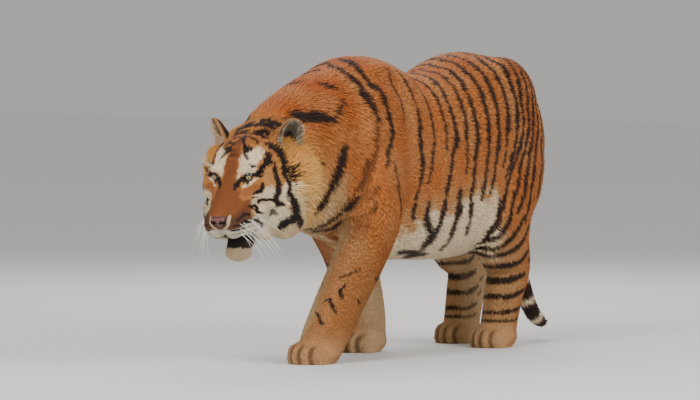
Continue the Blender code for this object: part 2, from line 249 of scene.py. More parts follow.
def fused(name, forms, grain):
    """One closed skin round all the forms."""
    mesh = bpy.data.meshes.new(name)
    verts, faces = join(forms)
    mesh.from_pydata(verts, [], faces)
    whole = bmesh.new()
    whole.from_mesh(mesh)
    bmesh.ops.recalc_face_normals(whole, faces=whole.faces)
    whole.to_mesh(mesh)
    whole.free()
    body = add_object(name, mesh)
    remesh = body.modifiers.new("fuse", "REMESH")
    remesh.mode = "VOXEL"
    remesh.voxel_size = grain
    return settle(body)


def softened(obj, passes, loose, share, coarse=None):
    """Smoothed all over, then where it is loose, and left with a share of its triangles."""
    for name, weights in (("loose", loose), ("coarse", coarse)):
        if weights is not None:
            group = obj.vertex_groups.new(name=name)
            for index, weight in enumerate(weights):
                group.add([index], float(weight), "REPLACE")
    for count, name in zip(passes, ("", "loose")):
        soften = obj.modifiers.new("soften", "SMOOTH")
        soften.factor = 0.5
        soften.iterations = count
        soften.vertex_group = name
    fewer = obj.modifiers.new("fewer", "DECIMATE")
    fewer.ratio = share
    if coarse is not None:
        fewer.vertex_group = "coarse"
        fewer.vertex_group_factor = 1.0
    settle(obj)
    obj.vertex_groups.clear()


def shape_of(mesh):
    """The points, normals and triangles of a mesh."""
    mesh.calc_loop_triangles()
    found = []
    for items, name, kind in ((mesh.vertices, "co", float), (mesh.vertex_normals, "vector", float),
                              (mesh.loop_triangles, "vertices", int)):
        values = np.empty(len(items) * 3, np.float32 if kind is float else np.int32)
        items.foreach_get(name, values)
        found.append(values.reshape(-1, 3).astype(kind))
    return found


def put_points(mesh, points):
    mesh.vertices.foreach_set("co", points.astype(np.float32).ravel())
    mesh.update()


# ---- the head's place ----


def middle_of(node):
    low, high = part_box(node)
    return (low + high) / 2


head_turn = (Matrix.Rotation(math.radians(HEAD_YAW), 4, "Z")
             @ Matrix.Rotation(math.radians(HEAD_PITCH), 4, "X"))
head_place = Matrix.Translation(EYES_MID) @ head_turn
eyes_at = (middle_of("eye_left") + middle_of("eye_right")) / 2
HOME = np.array(eyes_at - head_place @ Vector((0, *EYE_CENTRE[1:])))
HEAD_ROWS = np.array(head_turn)[:3, :3]


def in_head(points):
    """Body coordinates to the head's own: x to its left, y back, z up."""
    return (points - np.array(EYES_MID)) @ HEAD_ROWS


def out_of_head(places):
    return places @ HEAD_ROWS.T + np.array(EYES_MID)


def mirrored(points, side):
    return np.array(points) * (side, 1, 1)


def folded(places):
    """Places in the head, all brought to its left side."""
    return np.abs(places * (1, 0, 0)) + places * (0, 1, 1)


def gap_to(places, path):
    """Distance in the head to a path on its left or to the mirror image."""
    return path_distance(folded(places), path)[0]


# ---- the forms under the coat, in mm ----

PAW_SIZES = {"front": (0.078, 0.096), "hind": (0.071, 0.090)}
TOES = ((-0.70, 0.42), (-0.25, 0.64), (0.25, 0.64), (0.70, 0.42))  # across and ahead
LEGS = {name: (side, mm(paw), mm(joints)) for name, side, paw, joints in (
    ("front_left", 1, (112, -800), [
        (110, -450, 800), (138, -470, 680), (158, -500, 560), (163, -540, 450), (155, -600, 340),
        (142, -672, 230), (130, -728, 140), (121, -765, 75), (116, -785, 35)
    ]),
    ("front_right", -1, (110, -185), [
        (110, -430, 780), (134, -410, 660), (150, -365, 540), (150, -290, 440), (142, -226, 340),
        (133, -182, 230), (123, -165, 140), (116, -165, 75), (112, -170, 35)
    ]),
    ("hind_left", 1, (120, 272), [
        (80, 400, 820), (112, 385, 700), (136, 345, 580), (148, 290, 470), (136, 316, 360),
        (126, 360, 265), (122, 330, 170), (120, 304, 80), (120, 290, 35)
    ]),
    ("hind_right", -1, (120, 432), [
        (80, 410, 820), (112, 415, 700), (136, 410, 580), (152, 400, 470), (146, 465, 360),
        (136, 530, 265), (131, 498, 170), (126, 465, 80), (122, 450, 35)
    ]),
)}
WIDTHS = {
    "front": mm([
        (20, 30, 30), (72, 120, 120), (86, 116, 116), (87, 104, 104), (83, 90, 90), (78, 84, 84),
        (75, 80, 80), (74, 74, 74), (66, 66, 66)]),
    "hind": mm([
        (20, 50, 50), (78, 165, 160), (92, 160, 165), (90, 130, 150), (80, 94, 142), (67, 80, 104),
        (62, 68, 82), (62, 58, 64), (60, 52, 56)]),
}
TAIL = mm([  # x, y, z and half thickness
    (0, 480, 900, 50), (0, 570, 850, 46), (0, 612, 740, 40), (0, 618, 600, 36), (0, 612, 450, 34),
    (0, 614, 330, 34), (0, 632, 235, 34), (2, 662, 155, 33), (6, 704, 92, 31), (10, 750, 60, 25),
    (12, 776, 56, 10)])
PROFILE = mm([  # distance back, topline, underline, half width
    (-1000, 755, 520, 95), (-920, 806, 475, 128), (-800, 862, 432, 152), (-680, 908, 398, 172),
    (-560, 948, 366, 190), (-450, 980, 340, 203), (-350, 972, 322, 210), (-220, 914, 304, 214),
    (-80, 917, 292, 222), (80, 940, 288, 231), (220, 982, 296, 228), (340, 1000, 340, 214),
    (450, 984, 430, 194), (532, 932, 530, 158), (578, 870, 640, 105)])
MUSCLES = [  # centre and radii, turn about x and y, and share of the leg's step
    (80, -412, 818, 62, 135, 148, 14, 16, 0.5), (128, -450, 680, 92, 165, 215, 12, 8, 1),
    (92, 350, 800, 104, 180, 170, 0, 0, 0), (112, 330, 600, 98, 195, 230, 8, 0, 0)]
SKULL = [  # squareness, and y, z, half side, half top and half bottom
    (1.9, [
        (-146, -80, 24, 18, 22), (-130, -84, 42, 28, 36), (-105, -82, 56, 42, 50),
        (-70, -77, 64, 52, 56), (-30, -66, 73, 62, 64), (10, -52, 90, 74, 76),
        (50, -42, 108, 96, 88), (90, -38, 120, 107, 96), (140, -36, 128, 110, 105),
        (210, -40, 134, 104, 120)]),
    (2.5, [
        (-154, -74, 20, 10, 18), (-140, -64, 28, 20, 30), (-100, -52, 32, 24, 30),
        (-55, -38, 33, 28, 30), (-15, -18, 37, 30, 30), (20, -4, 46, 34, 30),
        (60, 10, 60, 40, 40)]),
    (2.2, [
        (-100, -220, 22, 12, 16), (-84, -219, 36, 30, 28), (-45, -210, 45, 42, 34),
        (10, -188, 58, 46, 42), (70, -152, 76, 50, 54), (150, -130, 85, 50, 70)]),
]
# Centres, radii and turns about x: whisker pad, lip, mouth's corner, brow, cheekbone, cheek,
# upper and lower ruff and jowl.
CHEEKS = [
    (34, -108, -104, 37, 44, 44, 0), (50, -70, -117, 37, 60, 45, 0),
    (64, -10, -134, 38, 56, 46, 0), (50, 20, 18, 34, 32, 20, 0), (86, 45, -52, 41, 62, 54, 0),
    (86, 85, -108, 58, 82, 80, 0), (117, 180, -104, 72, 76, 102, -14),
    (104, 82, -180, 66, 84, 84, -18), (66, 22, -178, 45, 76, 52, -10)]


def trunk_forms():
    rows = []
    for y, high, low, half in PROFILE:
        middle = 0.52 * high + 0.48 * low
        rows.append((0, y, middle, half, high - middle, middle - low))
    forms = [loft(rows)]
    for side, reach in ((1, -0.025), (-1, 0.045)):
        for *sizes, nod, lean, step in MUSCLES:
            x, y, z, *radii = mm(sizes)
            forms.append(ball((side * x, y + reach * step, z), radii, (nod, side * lean, 0)))
    return forms


def leg_forms():
    """The legs, each on a broad pad with four toes, the middle two furthest forward."""
    forms = []
    for name, (side, paw, joints) in LEGS.items():
        kind = name.split("_")[0]
        keys = [(side * x, y, z, *width) for (x, y, z), width in zip(joints, WIDTHS[kind])]
        forms.append(loft(keys))
        half_width, half_length = PAW_SIZES[kind]
        x, y = side * paw[0], paw[1]
        forms.append(ball((x, y + 0.012, 0.036), (half_width * 0.98, half_length * 0.90, 0.052)))
        for place, reach in TOES:
            toe = (x + place * half_width, y - reach * half_length, 0.026)
            sizes = (half_width * 0.27, half_length * 0.46, 0.042)
            forms.append(ball(toe, sizes, (-10, 0, -place * 18)))
    return forms


def skull_forms(fine):
    """Skull, nose, muzzle, jaw and cheek ruff; the fine ones have nose pad and lips too."""
    forms = [loft(np.insert(mm(rows), 0, 0, 1), head_place, power) for power, rows in SKULL]
    forms += [ball(mm(centre), mm(radii), place=head_place) for centre, radii in (
        ((0, 225, -20), (120, 100, 92)), ((0, -72, -226), (43, 36, 31)))]
    pieces = [(row[:3], row[3:6], (row[6], 0, 0)) for row in CHEEKS]
    if fine:
        pieces += [
            ((30, -112, -114), (34, 41, 38), (0, 0, 0)),  # upper lip
            ((17, -146, -74), (14, 12, 12), (0, 0, -20)),  # nostril wing
        ]
        forms.append(ball((0, -0.146, -0.068), (0.025, 0.014, 0.016), place=head_place))
    for side in (-1, 1):
        for centre, radii, (nod, _, turn) in pieces:
            spot = mirrored(mm(centre), side)
            forms.append(ball(spot, mm(radii), (nod, 0, side * turn), head_place))
    return forms


def face_share(points):
    """1 on the head, 0 on the body, smooth across the ruff."""
    return fall(norm(in_head(points) - np.array([0, 0.06, -0.07])), 0.235, 0.285)


def body_clay():
    """The whole body as in the solids, smoothed and with fewer triangles."""
    tail = loft([(*row, row[3], row[3]) for row in TAIL], squareness=2.0)
    body = fused("body", trunk_forms() + skull_forms(False) + leg_forms() + [tail], BODY_GRAIN)
    points = shape_of(body.data)[0]
    x, y, z = points.T
    behind = in_head(points)[:, 1]
    loose = 1 - 0.80 * (np.abs(x) < 0.06) * np.clip((y - 0.56) / 0.03, 0, 1)
    own = 0.92 - 0.30 * np.clip(behind / 0.06, 0, 1)
    loose -= own * np.clip((0.30 - behind) / 0.16, 0, 1) * (y < -0.80)
    loose = np.where(z < 0.30, 1 - 0.55 * np.clip((0.30 - z) / 0.10, 0, 1), loose)
    softened(body, (5, 60), loose, BODY_SHARE)
    points, normals, _ = shape_of(body.data)
    inward = 0.016 * face_share(points) * fall(in_head(points)[:, 1], 0.13, 0.20)
    put_points(body.data, points - normals * inward[:, None])
    return body


def head_clay():
    head = fused("head", skull_forms(True), HEAD_GRAIN)
    places = in_head(shape_of(head.data)[0])
    behind = places[:, 1]
    loose = 0.18 + 0.82 * ramp(behind, 0.0, 0.07)
    eyes = [mirrored(EYE_CENTRE, side) for side in (1, -1)]
    for spot in (NOSE_TIP, *eyes):
        loose *= ramp(norm(places - spot), 0.025, 0.05)
    softened(head, (7, 90), loose, HEAD_SHARE, 0.70 + 0.20 * ramp(behind, 0.04, 0.14))
    shape = bmesh.new()
    shape.from_mesh(head.data)
    spots = [(head_place @ Vector(spot), reach)
             for spot, reach in ((eyes[0], 0.032), (eyes[1], 0.032), (NOSE_TIP, 0.034))]
    edges = [edge for edge in shape.edges
             if any(((edge.verts[0].co + edge.verts[1].co) / 2 - spot).length < reach
                    for spot, reach in spots)]
    bmesh.ops.subdivide_edges(shape, edges=edges, cuts=1, use_grid_fill=True)
    bmesh.ops.triangulate(shape, faces=shape.faces)
    shape.to_mesh(head.data)
    shape.free()
    return head


def lid_measure(near):
    """Distance from the eye, a number that is 1 along the lids' edge, and distance ahead."""
    outward = unit(np.array([-EYE_AHEAD[1], EYE_AHEAD[0], 0.0]))
    upward = unit(np.array([0.0, 0.0, 1.0]) - EYE_AHEAD * EYE_AHEAD[2])
    tilt = math.radians(12)  # the inner corner lies lower than the outer
    off = near - EYE_CENTRE
    ahead = off @ EYE_AHEAD
    wide = np.arctan2(off @ (outward * math.cos(tilt) + upward * math.sin(tilt)), ahead)
    high = np.arctan2(off @ (upward * math.cos(tilt) - outward * math.sin(tilt)), ahead)
    inner = np.where(wide < 0, 1.02, 0.80)  # the opening runs further towards the nose
    opening = np.abs(high) / np.where(high > 0, 0.50, 0.46) + (wide / inner) ** 2
    return norm(off), np.where(ahead < 0, 9, opening), ahead


GROOVES = [  # width, depth and path in mm: lip's groove, nostril, wing, nose's side, mouth
    (3.2, 6, 0, -158, -88, 0, -152, -112, 0, -136, -146),
    (4.2, 9, 12, -158, -71, 21, -150, -75),
    (5, 2.5, 30, -142, -80, 29, -128, -66, 26, -118, -50),
    (7, 3.5, 34, -36, -14, 42, -76, -52, 56, -82, -78),
    (6, 7, 52, -70, -160, 66, -26, -158, 76, 4, -150)]
GROOVES += [(2.4, 1.2, 34, -150, level, 66, -112, level - 4, 72, -80, level - 10)
            for level in (-88, -101, -114, -127)]  # the whiskers' rows


def sculpt_head(head):
    """Lids, nostrils, lip groove and folds, as small moves of the head's surface."""
    points, normals, _ = shape_of(head.data)
    places = in_head(points)
    moves = np.zeros(len(places))
    for width, depth, *path in GROOVES:
        gap = gap_to(places, mm(path).reshape(-1, 3))
        moves = np.minimum(moves, -depth / 1000 * np.exp(-((gap / width * 1000) ** 2)))
    places += (normals @ HEAD_ROWS) * moves[:, None]
    near = folded(places)
    radius, opening, ahead = lid_measure(near)
    goal = EYE_RADIUS - 0.004 + 0.0066 * ramp(opening, 0.86, 1.0) + 0.006 * ramp(opening, 1.25, 2.4)
    hold = fall(opening, 1.5, 3.0) * (ahead > 0) * (radius < 0.040)
    near = layers(near, (EYE_CENTRE + unit(near - EYE_CENTRE) * goal[:, None], hold))
    near[places[:, 0] < 0] *= (-1, 1, 1)
    put_points(head.data, out_of_head(near))
    return head


def ear_place(side):
    lean, tilt, turn = EAR_FACING
    turns = (lean, side * tilt, side * turn)
    return head_place @ turned(mirrored(EAR_CENTRE, side), turns, (1, 1, 1))


def face_normals(points, triangles):
    corners = points[triangles]
    return np.cross(corners[:, 1] - corners[:, 0], corners[:, 2] - corners[:, 0])


def ear_cup(side):
    """An ear as a thin bowl that opens forwards and outwards: its points and triangles."""
    rounds, steps = 36, 12
    verts, triangles = [], []
    for thick, trim, size in ((1.0, 0.0, 1.0), (0.60, 0.001, 0.97)):  # outside, inside
        for step in range(steps + 1):
            r = math.sin(step / steps * math.pi / 2)
            bulge = math.sqrt(max(0.0, 1 - r * r))
            for k in range(rounds):
                a = 2 * math.pi * k / rounds
                curl = 0.010 * r * r * (0.5 - 0.5 * math.sin(a))
                depth = thick * EAR_SIZE.y * bulge - trim - curl
                wide = EAR_SIZE.x * r * math.cos(a) * size * (1 + 0.05 * math.sin(a) * r)
                verts.append((wide, depth, EAR_SIZE.z * r * math.sin(a) * size))
    layer = (steps + 1) * rounds
    for k in range(rounds):
        after = (k + 1) % rounds
        for step in range(steps):
            a, b = step * rounds, (step + 1) * rounds
            triangles += [(a + k, a + after, b + k), (a + after, b + after, b + k)]
            a, b = a + layer, b + layer
            triangles += [(a + k, b + k, a + after), (a + after, b + k, b + after)]
        rim, brim = steps * rounds, layer + steps * rounds
        triangles += [(rim + k, rim + after, brim + k), (rim + after, brim + after, brim + k)]
    points, triangles = moved(np.array(verts), ear_place(side)), np.array(triangles)
    volume = (points[triangles[:, 0]] * face_normals(points, triangles)).sum()
    return points, triangles if volume > 0 else triangles[:, ::-1]


# ---- where the body is what ----

LEG_PATHS = {name: joints * (side, 1, 1) for name, (side, _, joints) in LEGS.items()}
TAIL_PATH = TAIL[:, :3]


def leg_share(points):
    """1 on the free part of the legs and 0 on the trunk, with the number of the nearest leg."""
    gaps = np.array([path_distance(points, path[2:])[0] for path in LEG_PATHS.values()])
    share = fall(gaps.min(0), 0.110, 0.150) * fall(points[:, 2], 0.44, 0.66)
    return np.where(points[:, 2] < 0.27, 1.0, share), gaps.argmin(0)


def leg_middle(path, z):
    """The x and y of the middle of a leg at each height."""
    return [np.interp(z, path[::-1, 2], path[::-1, k]) for k in (0, 1)]


def tail_share(points):
    gap, _ = path_distance(points, TAIL_PATH[2:])
    thick = np.interp(points[:, 2], [0.5, 0.7, 0.85], [0.046, 0.042, 0.034])
    return fall(gap, thick, thick + 0.014) * (points[:, 1] > 0.56)


def coat_depth(points, normals):
    """How far the skin lies under the tips of the coat."""
    deep = 0.0080 + 0.006 * ramp(-normals[:, 2], 0.3, 0.8) + 0.006 * ramp(-points[:, 1], 0.5, 0.7)
    leg = np.interp(points[:, 2], [0, 0.012, 0.05, 0.12, 0.3, 0.5], mm([0, 2, 3, 4, 6, 10]))
    head = np.interp(in_head(points)[:, 1], [-0.15, -0.12, -0.02, 0.06, 0.14, 0.24],
                     mm([0.3, 1.5, 3, 6, 13, 18]))
    deep += (leg - deep) * leg_share(points)[0]
    deep += (0.008 - deep) * tail_share(points)
    return deep + (head - deep) * face_share(points)


def along_skin(way, normals, share=1.0):
    """The directions without their part that points out of the skin."""
    return way - normals * (way * normals).sum(1)[:, None] * share


def lie_of_coat(points, normals):
    """Which way the hair lies at each place, along the skin."""
    x, y, z = points.T
    flat = np.abs(normals[:, 0])
    down = flat * (0.42 + 0.5 * ramp(-y, 0.35, 0.65) + 1.1 * ramp(y, 0.30, 0.56))
    down += 2.2 * ramp(normals[:, 1], 0.35, 0.8) * ramp(y, 0.30, 0.5)
    way = unit(columns(0 * x, 0 * x + 1, -down))
    legs, nearest = leg_share(points)
    for number, path in enumerate(LEG_PATHS.values()):
        here = (nearest == number) & (legs > 0)
        if here.any():
            own = path_way(points[here], path[2:]) + np.array([0, 0.25, 0]) * (z[here, None] > 0.12)
            own = layers(own, ((0, -0.85, -0.38), fall(z[here], 0.055, 0.115)))  # to the toes
            way[here] = layers(way[here], (unit(own), legs[here]))
    way = layers(way, (path_way(points, TAIL_PATH), tail_share(points)))
    places = in_head(points)
    low = ramp(-places[:, 2], 0.05, 0.20) * ramp(places[:, 1], -0.06, 0.08)
    droop = columns(0.25 * np.sign(places[:, 0]) * low, 0 * low, -0.75 * low)
    face = unit(places - NOSE_TIP) + droop
    way = layers(way, (unit(face) @ HEAD_ROWS.T, face_share(points)))
    return unit(along_skin(way, normals))


# ---- markings ----


def marks(rows, scale=1000):
    """Half width, darkness and path of each mark, from rows that give each path flat."""
    return [(half, dark, np.reshape(path, (-1, 2)) / scale) for half, dark, *path in rows]


WHITE = paint(246, 223, 184)
CREAM = paint(214, 190, 152)
ORANGE = paint(190, 108, 48)
DEEP = paint(170, 78, 20)
TAN = paint(196, 136, 82)
BRIDGE = paint(138, 80, 42)
GOLD = paint(212, 150, 76)
INK = paint(50, 33, 26)

# Marks of the body: half width, darkness, and a path of distances back and heights, in mm.
BODY_MARKS = marks([
    (5, .9, -692, 892, -674, 885, -660, 873), (3, .8, -886, 698, -849, 672, -803, 642),
    (12, 1, -880, 790, -800, 790, -730, 780), (4, .8, -740, 780, -690, 810, -660, 840),
    (5, .9, -970, 790, -880, 785), (13, 1, -710, 690, -720, 620, -750, 570, -770, 480),
    (4.5, 1, -590, 560, -640, 500, -680, 450, -700, 390),
    (4.5, .9, -605, 507, -634, 466, -656, 428, -668, 396, -675, 360),
    (3, .5, -600, 660, -610, 580, -660, 510),
    (5.5, 1, -550, 980, -575, 920, -565, 880, -585, 830, -570, 770),
    (5.5, 1, -490, 990, -520, 930, -530, 860, -525, 790, -510, 710, -550, 620),
    (3, .5, -580, 780, -575, 700, -600, 600, -620, 520),
    (3.5, .6, -510, 630, -510, 550, -480, 460), (4, .8, -410, 940, -410, 870, -430, 770),
    (5, .95, -310, 930, -310, 820, -320, 700, -310, 600, -330, 500, -310, 440),
    (4, .85, -230, 930, -220, 820, -240, 680, -280, 560),
    (4, .9, -130, 940, -140, 820, -170, 670),
    (6, 1, -50, 950, -100, 800, -110, 700, -160, 570, -150, 440),
    (4.5, .9, 10, 950, -30, 800, -50, 700, -60, 600),
    (5.5, 1, 70, 970, 30, 840, 10, 710, -20, 570, -10, 460),
    (5.5, 1, 110, 980, 100, 860, 80, 730, 50, 580, 40, 500),
    (6, 1, 160, 1000, 160, 860, 140, 740, 110, 600, 90, 520),
    (6, 1, 220, 1010, 230, 880, 210, 770, 160, 610),
    (6.5, 1, 285, 1020, 290, 880, 280, 770, 220, 640, 180, 570),
    (6, 1, 340, 1000, 330, 860, 320, 750, 270, 660, 200, 560, 180, 460),
    (5.5, 1, 380, 990, 370, 820, 350, 720, 280, 610, 210, 450),
    (5.5, 1, 415, 970, 410, 800, 380, 700, 300, 560, 250, 450),
    (5, 1, 460, 960, 450, 770, 400, 660, 330, 530, 300, 410),
    (5, 1, 510, 930, 500, 760, 450, 630, 380, 500),
    (4.5, .9, 570, 900, 560, 740, 500, 600, 440, 480), (4, .8, 640, 840, 620, 680, 560, 550),
    (3.5, .8, 685, 750, 675, 640, 630, 520), (9, 1, -260, 500, -240, 440, -180, 390, -170, 330),
    (7, 1, -170, 500, -160, 430, -150, 330), (8, 1, -90, 530, -70, 440, -50, 330),
    (4.5, .9, -30, 530, 0, 460, 30, 380), (5, .8, -260, 335, -170, 315, -100, 315),
    (6, 1, 160, 500, 170, 420, 150, 330)])
HIND_MARKS = marks([
    (7, 1, 220, 450, 190, 380, 160, 340), (8, 1, 290, 440, 240, 370, 170, 315),
    (7, 1, 340, 410, 290, 340, 170, 295), (7, 1, 390, 340, 300, 280, 180, 265),
    (8, 1, 190, 235, 260, 220, 360, 240), (6.5, 1, 200, 185, 270, 168, 370, 190),
    (5, .9, 200, 128, 260, 116, 360, 135), (3.5, .7, 200, 88, 300, 90, 350, 100),
    (4, .8, 380, 345, 430, 360, 470, 385), (4, .8, 370, 285, 420, 295, 460, 305),
    (3.5, .8, 390, 210, 440, 222), (3.5, .8, 360, 160, 410, 172)])
# Marks of the forelegs, by distance round the leg from its front outwards, and height.
FRONT_MARKS = marks([
    (2.4, .75, 12, 274, 31, 281, 44, 290, 62, 302), (3, .9, 37, 250, 32, 228, 49, 209),
    (3, .9, -5, 199, 11, 203, 31, 181, 49, 165), (3, .9, -19, 164, -6, 158, 11, 134, 25, 128),
    (2.6, .7, -80, 300, -60, 315, -45, 312), (3, .8, -120, 240, -95, 232, -70, 240),
    (3, .8, 150, 270, 170, 262, 190, 270), (2.8, .7, 115, 200, 135, 190)])
# Marks of the face's both sides (0), left (1) and right (-1): the same, but in degrees
# outwards and up round the middle of the head.
FACE_MARKS = {
    0: marks([
        (6.2, 1, 17, 75, 29, 76), (2.6, 1, 16, 69, 28, 58), (3.6, 1, 29, 45, 38, 42),
        (8, 1, 64, 63, 61, 52), (7, 1, 57, 48, 70, 45), (4.4, 1, 66, 47, 52, 40, 46, 34, 38, 31),
        (6.8, 1, 76, 38, 75, 23, 73, 6, 66, -5, 60, -14),
        (6.6, 1, 56, 89, 74, 73, 86, 62, 97, 35, 96, -1, 78, -29, 66, -42, 60, -60),
        (3.9, 1, 43, -44, 50, -41, 58, -42, 66, -44), (1.1, .9, 28, 2, 34, -2),
        (1.3, 1, 23, -3, 29, -12, 35, -20), (4, 1, 55, -20, 60, -26), (1.8, .6, 43, -31, 48, -31),
        (0.6, .7, 12, -4, 17, -5, 24, -9), (0.65, .8, 11, -7, 16, -8, 24, -13),
        (0.65, .9, 8, -10, 15, -11.5, 23, -17), (0.5, .5, 8, -13, 14, -15, 21, -21),
        (1.6, .7, 26, -14, 28, -22, 29, -32), (3, 1, 0, 118, 20, 118, 42, 112, 65, 97),
        (3, 1, 10, 108, 34, 99, 42, 86), (2.4, .95, 0, 131, 20, 129, 44, 123, 74, 106),
        (2.2, .95, 8, 124, 42, 117, 65, 106), (2.6, .95, 8, 136, 42, 128, 82, 107),
        (3.6, 1, 1, 110, 8, 92, 17, 78), (2, .6, 0, 64, 8, 63), (3, 1, 24, 29, 16, 26, 10, 19),
        (2.6, 1, 40, 28, 47, 29)], 1),
    1: marks([
        (3.3, 1, 44, 16, 41, 9, 33, 6),
        (2.7, 1, 36, -12, 38, -8, 45, -10, 52, -14, 57, -21, 62, -28)], 1),
    -1: marks([
        (4, 1, 56, 26, 55, 14, 47, 5), (3.2, 1, 52, -14, 58, -18, 66, -28),
        (3, 1, 42, 86, 41, 74), (2.6, .9, 44, 77, 31, 87, 8, 89),
        (2.2, .8, 27, 67, 12, 73, 1, 73)], 1),
}
PALE_MARKS = marks([(1.9, 1.0, 19, 19.5, 25, 19.5, 33, 21.5, 43, 27),
                    (2.8, 0.9, 17, 56, 14.5, 38, 14, 25)], 1)
# Coloured fields of the face: middle, half width and half height in degrees.
FACE_FIELDS = [
    (0, 104, 60, 22, paint(178, 106, 50)),
    (0, 60, 12, 42, BRIDGE),
    (0, 10, 17, 24, BRIDGE),
    (14, -3, 14, 9, BRIDGE),
    (30, 57, 17, 19, WHITE),
    (45, 66, 13, 12, WHITE),
    (28, 42, 14, 10, WHITE),
    (60, 22, 14, 22, paint(196, 138, 80)),
    (30, 12, 12, 7, paint(168, 104, 60)),
    (46, -10, 20, 20, WHITE),
    (40, -34, 24, 14, paint(214, 202, 166)),
    (80, -22, 14, 16, WHITE),
    (93, -18, 8, 20, WHITE),
    (72, -20, 14, 13, WHITE),
    (78, -46, 16, 20, paint(224, 196, 148)),
    (109, -14, 13, 36, paint(220, 160, 84)),
    (103, -46, 14, 26, paint(228, 174, 102)),
    (84, -74, 20, 16, paint(230, 182, 112)),
]
TAIL_RINGS = [(0.10, 0.6), (0.19, 0.8), (0.28, 0.9), (0.37, 1.0), (0.46, 1.0), (0.55, 1.1),
              (0.64, 1.2), (0.73, 1.3), (0.815, 1.5), (0.895, 1.5), (0.985, 1.9)]
# Distance back, and the height at which the orange of the flank turns white.
FLANK_EDGE = mm([[-950, -700, -620, -550, -460, -360, -190, -70, 60, 130, 190, 260, 400, 600],
                 [580, 500, 420, 340, 360, 410, 455, 480, 510, 500, 430, 360, 300, 300]])
LIP_LINE = mm([(0, -140, -150), (26, -134, -153), (50, -96, -156), (62, -50, -160),
               (72, -10, -166), (78, 12, -168)])
# The nostrils' openings, painted near-black as painted shade in the holes.
NOSTRIL = mm([(9, -158, -78), (17, -156, -78), (24, -148, -70)])
NOSE_STREAK = mm([(32.5, -66), (32, -80), (24, -93), (10, -103)])


def stroke(spots, path, half, ragged):
    """How dark a tapering stroke makes each spot."""
    if len(path) > 2:
        path = curve_rows(path, 4)
    low, high = path.min(0) - 2.5 * half, path.max(0) + 2.5 * half
    near = ((spots > low) & (spots < high)).all(1)
    share = np.zeros(len(spots))
    if near.any():
        gap, along = path_distance(spots[near], path)
        taper = 0.42 + 0.58 * np.sin(np.pi * np.clip(along * 0.92 + 0.04, 0, 1)) ** 0.55
        gap = gap + ragged[near] * half * 0.30
        share[near] = fall(gap, 0.66 * half * taper, 1.30 * half * taper)
    return share


def inked(spots, rows, ragged, widen=1, least=0):
    """How dark the rows of marks make each spot, their half widths widened."""
    ink = np.zeros(len(spots))
    for half, dark, path in rows:
        ink = np.maximum(ink, dark * stroke(spots, path, widen * half + least, ragged))
    return ink


def flank_map(points):
    """Distance back, carried round the rump, and height."""
    x, y, z = points.T
    rear = ramp(y, 0.40, 0.55) * fall(z, 0.86, 0.96)
    return columns(y + rear * 0.8 * (0.20 - np.abs(x)), z)


def face_map(places):
    off = places - FACE_MIDDLE
    across = np.hypot(off[:, 0], off[:, 2]) + 1e-9
    turn = np.degrees(np.arctan2(across, -off[:, 1]))
    return columns(turn * np.abs(off[:, 0]) / across, turn * off[:, 2] / across)


def toe_crease_shade(points):
    """Painted shade: how much a point lies in one of the three creases between a paw's toes."""
    x, y, z = points.T
    gaps = np.zeros(len(x))
    for name, (side, paw, _) in LEGS.items():
        half_width, half_length = PAW_SIZES[name.split("_")[0]]
        across = (x - side * paw[0]) / half_width
        ahead = ramp((paw[1] - y) / half_length, 0.40, 0.70) * (y > paw[1] - 0.16)
        for place in (-0.48, 0, 0.48):
            gaps = np.maximum(gaps, ahead * fall(np.abs(across - place), 0.05, 0.12))
    return gaps * fall(z, 0.050, 0.072)


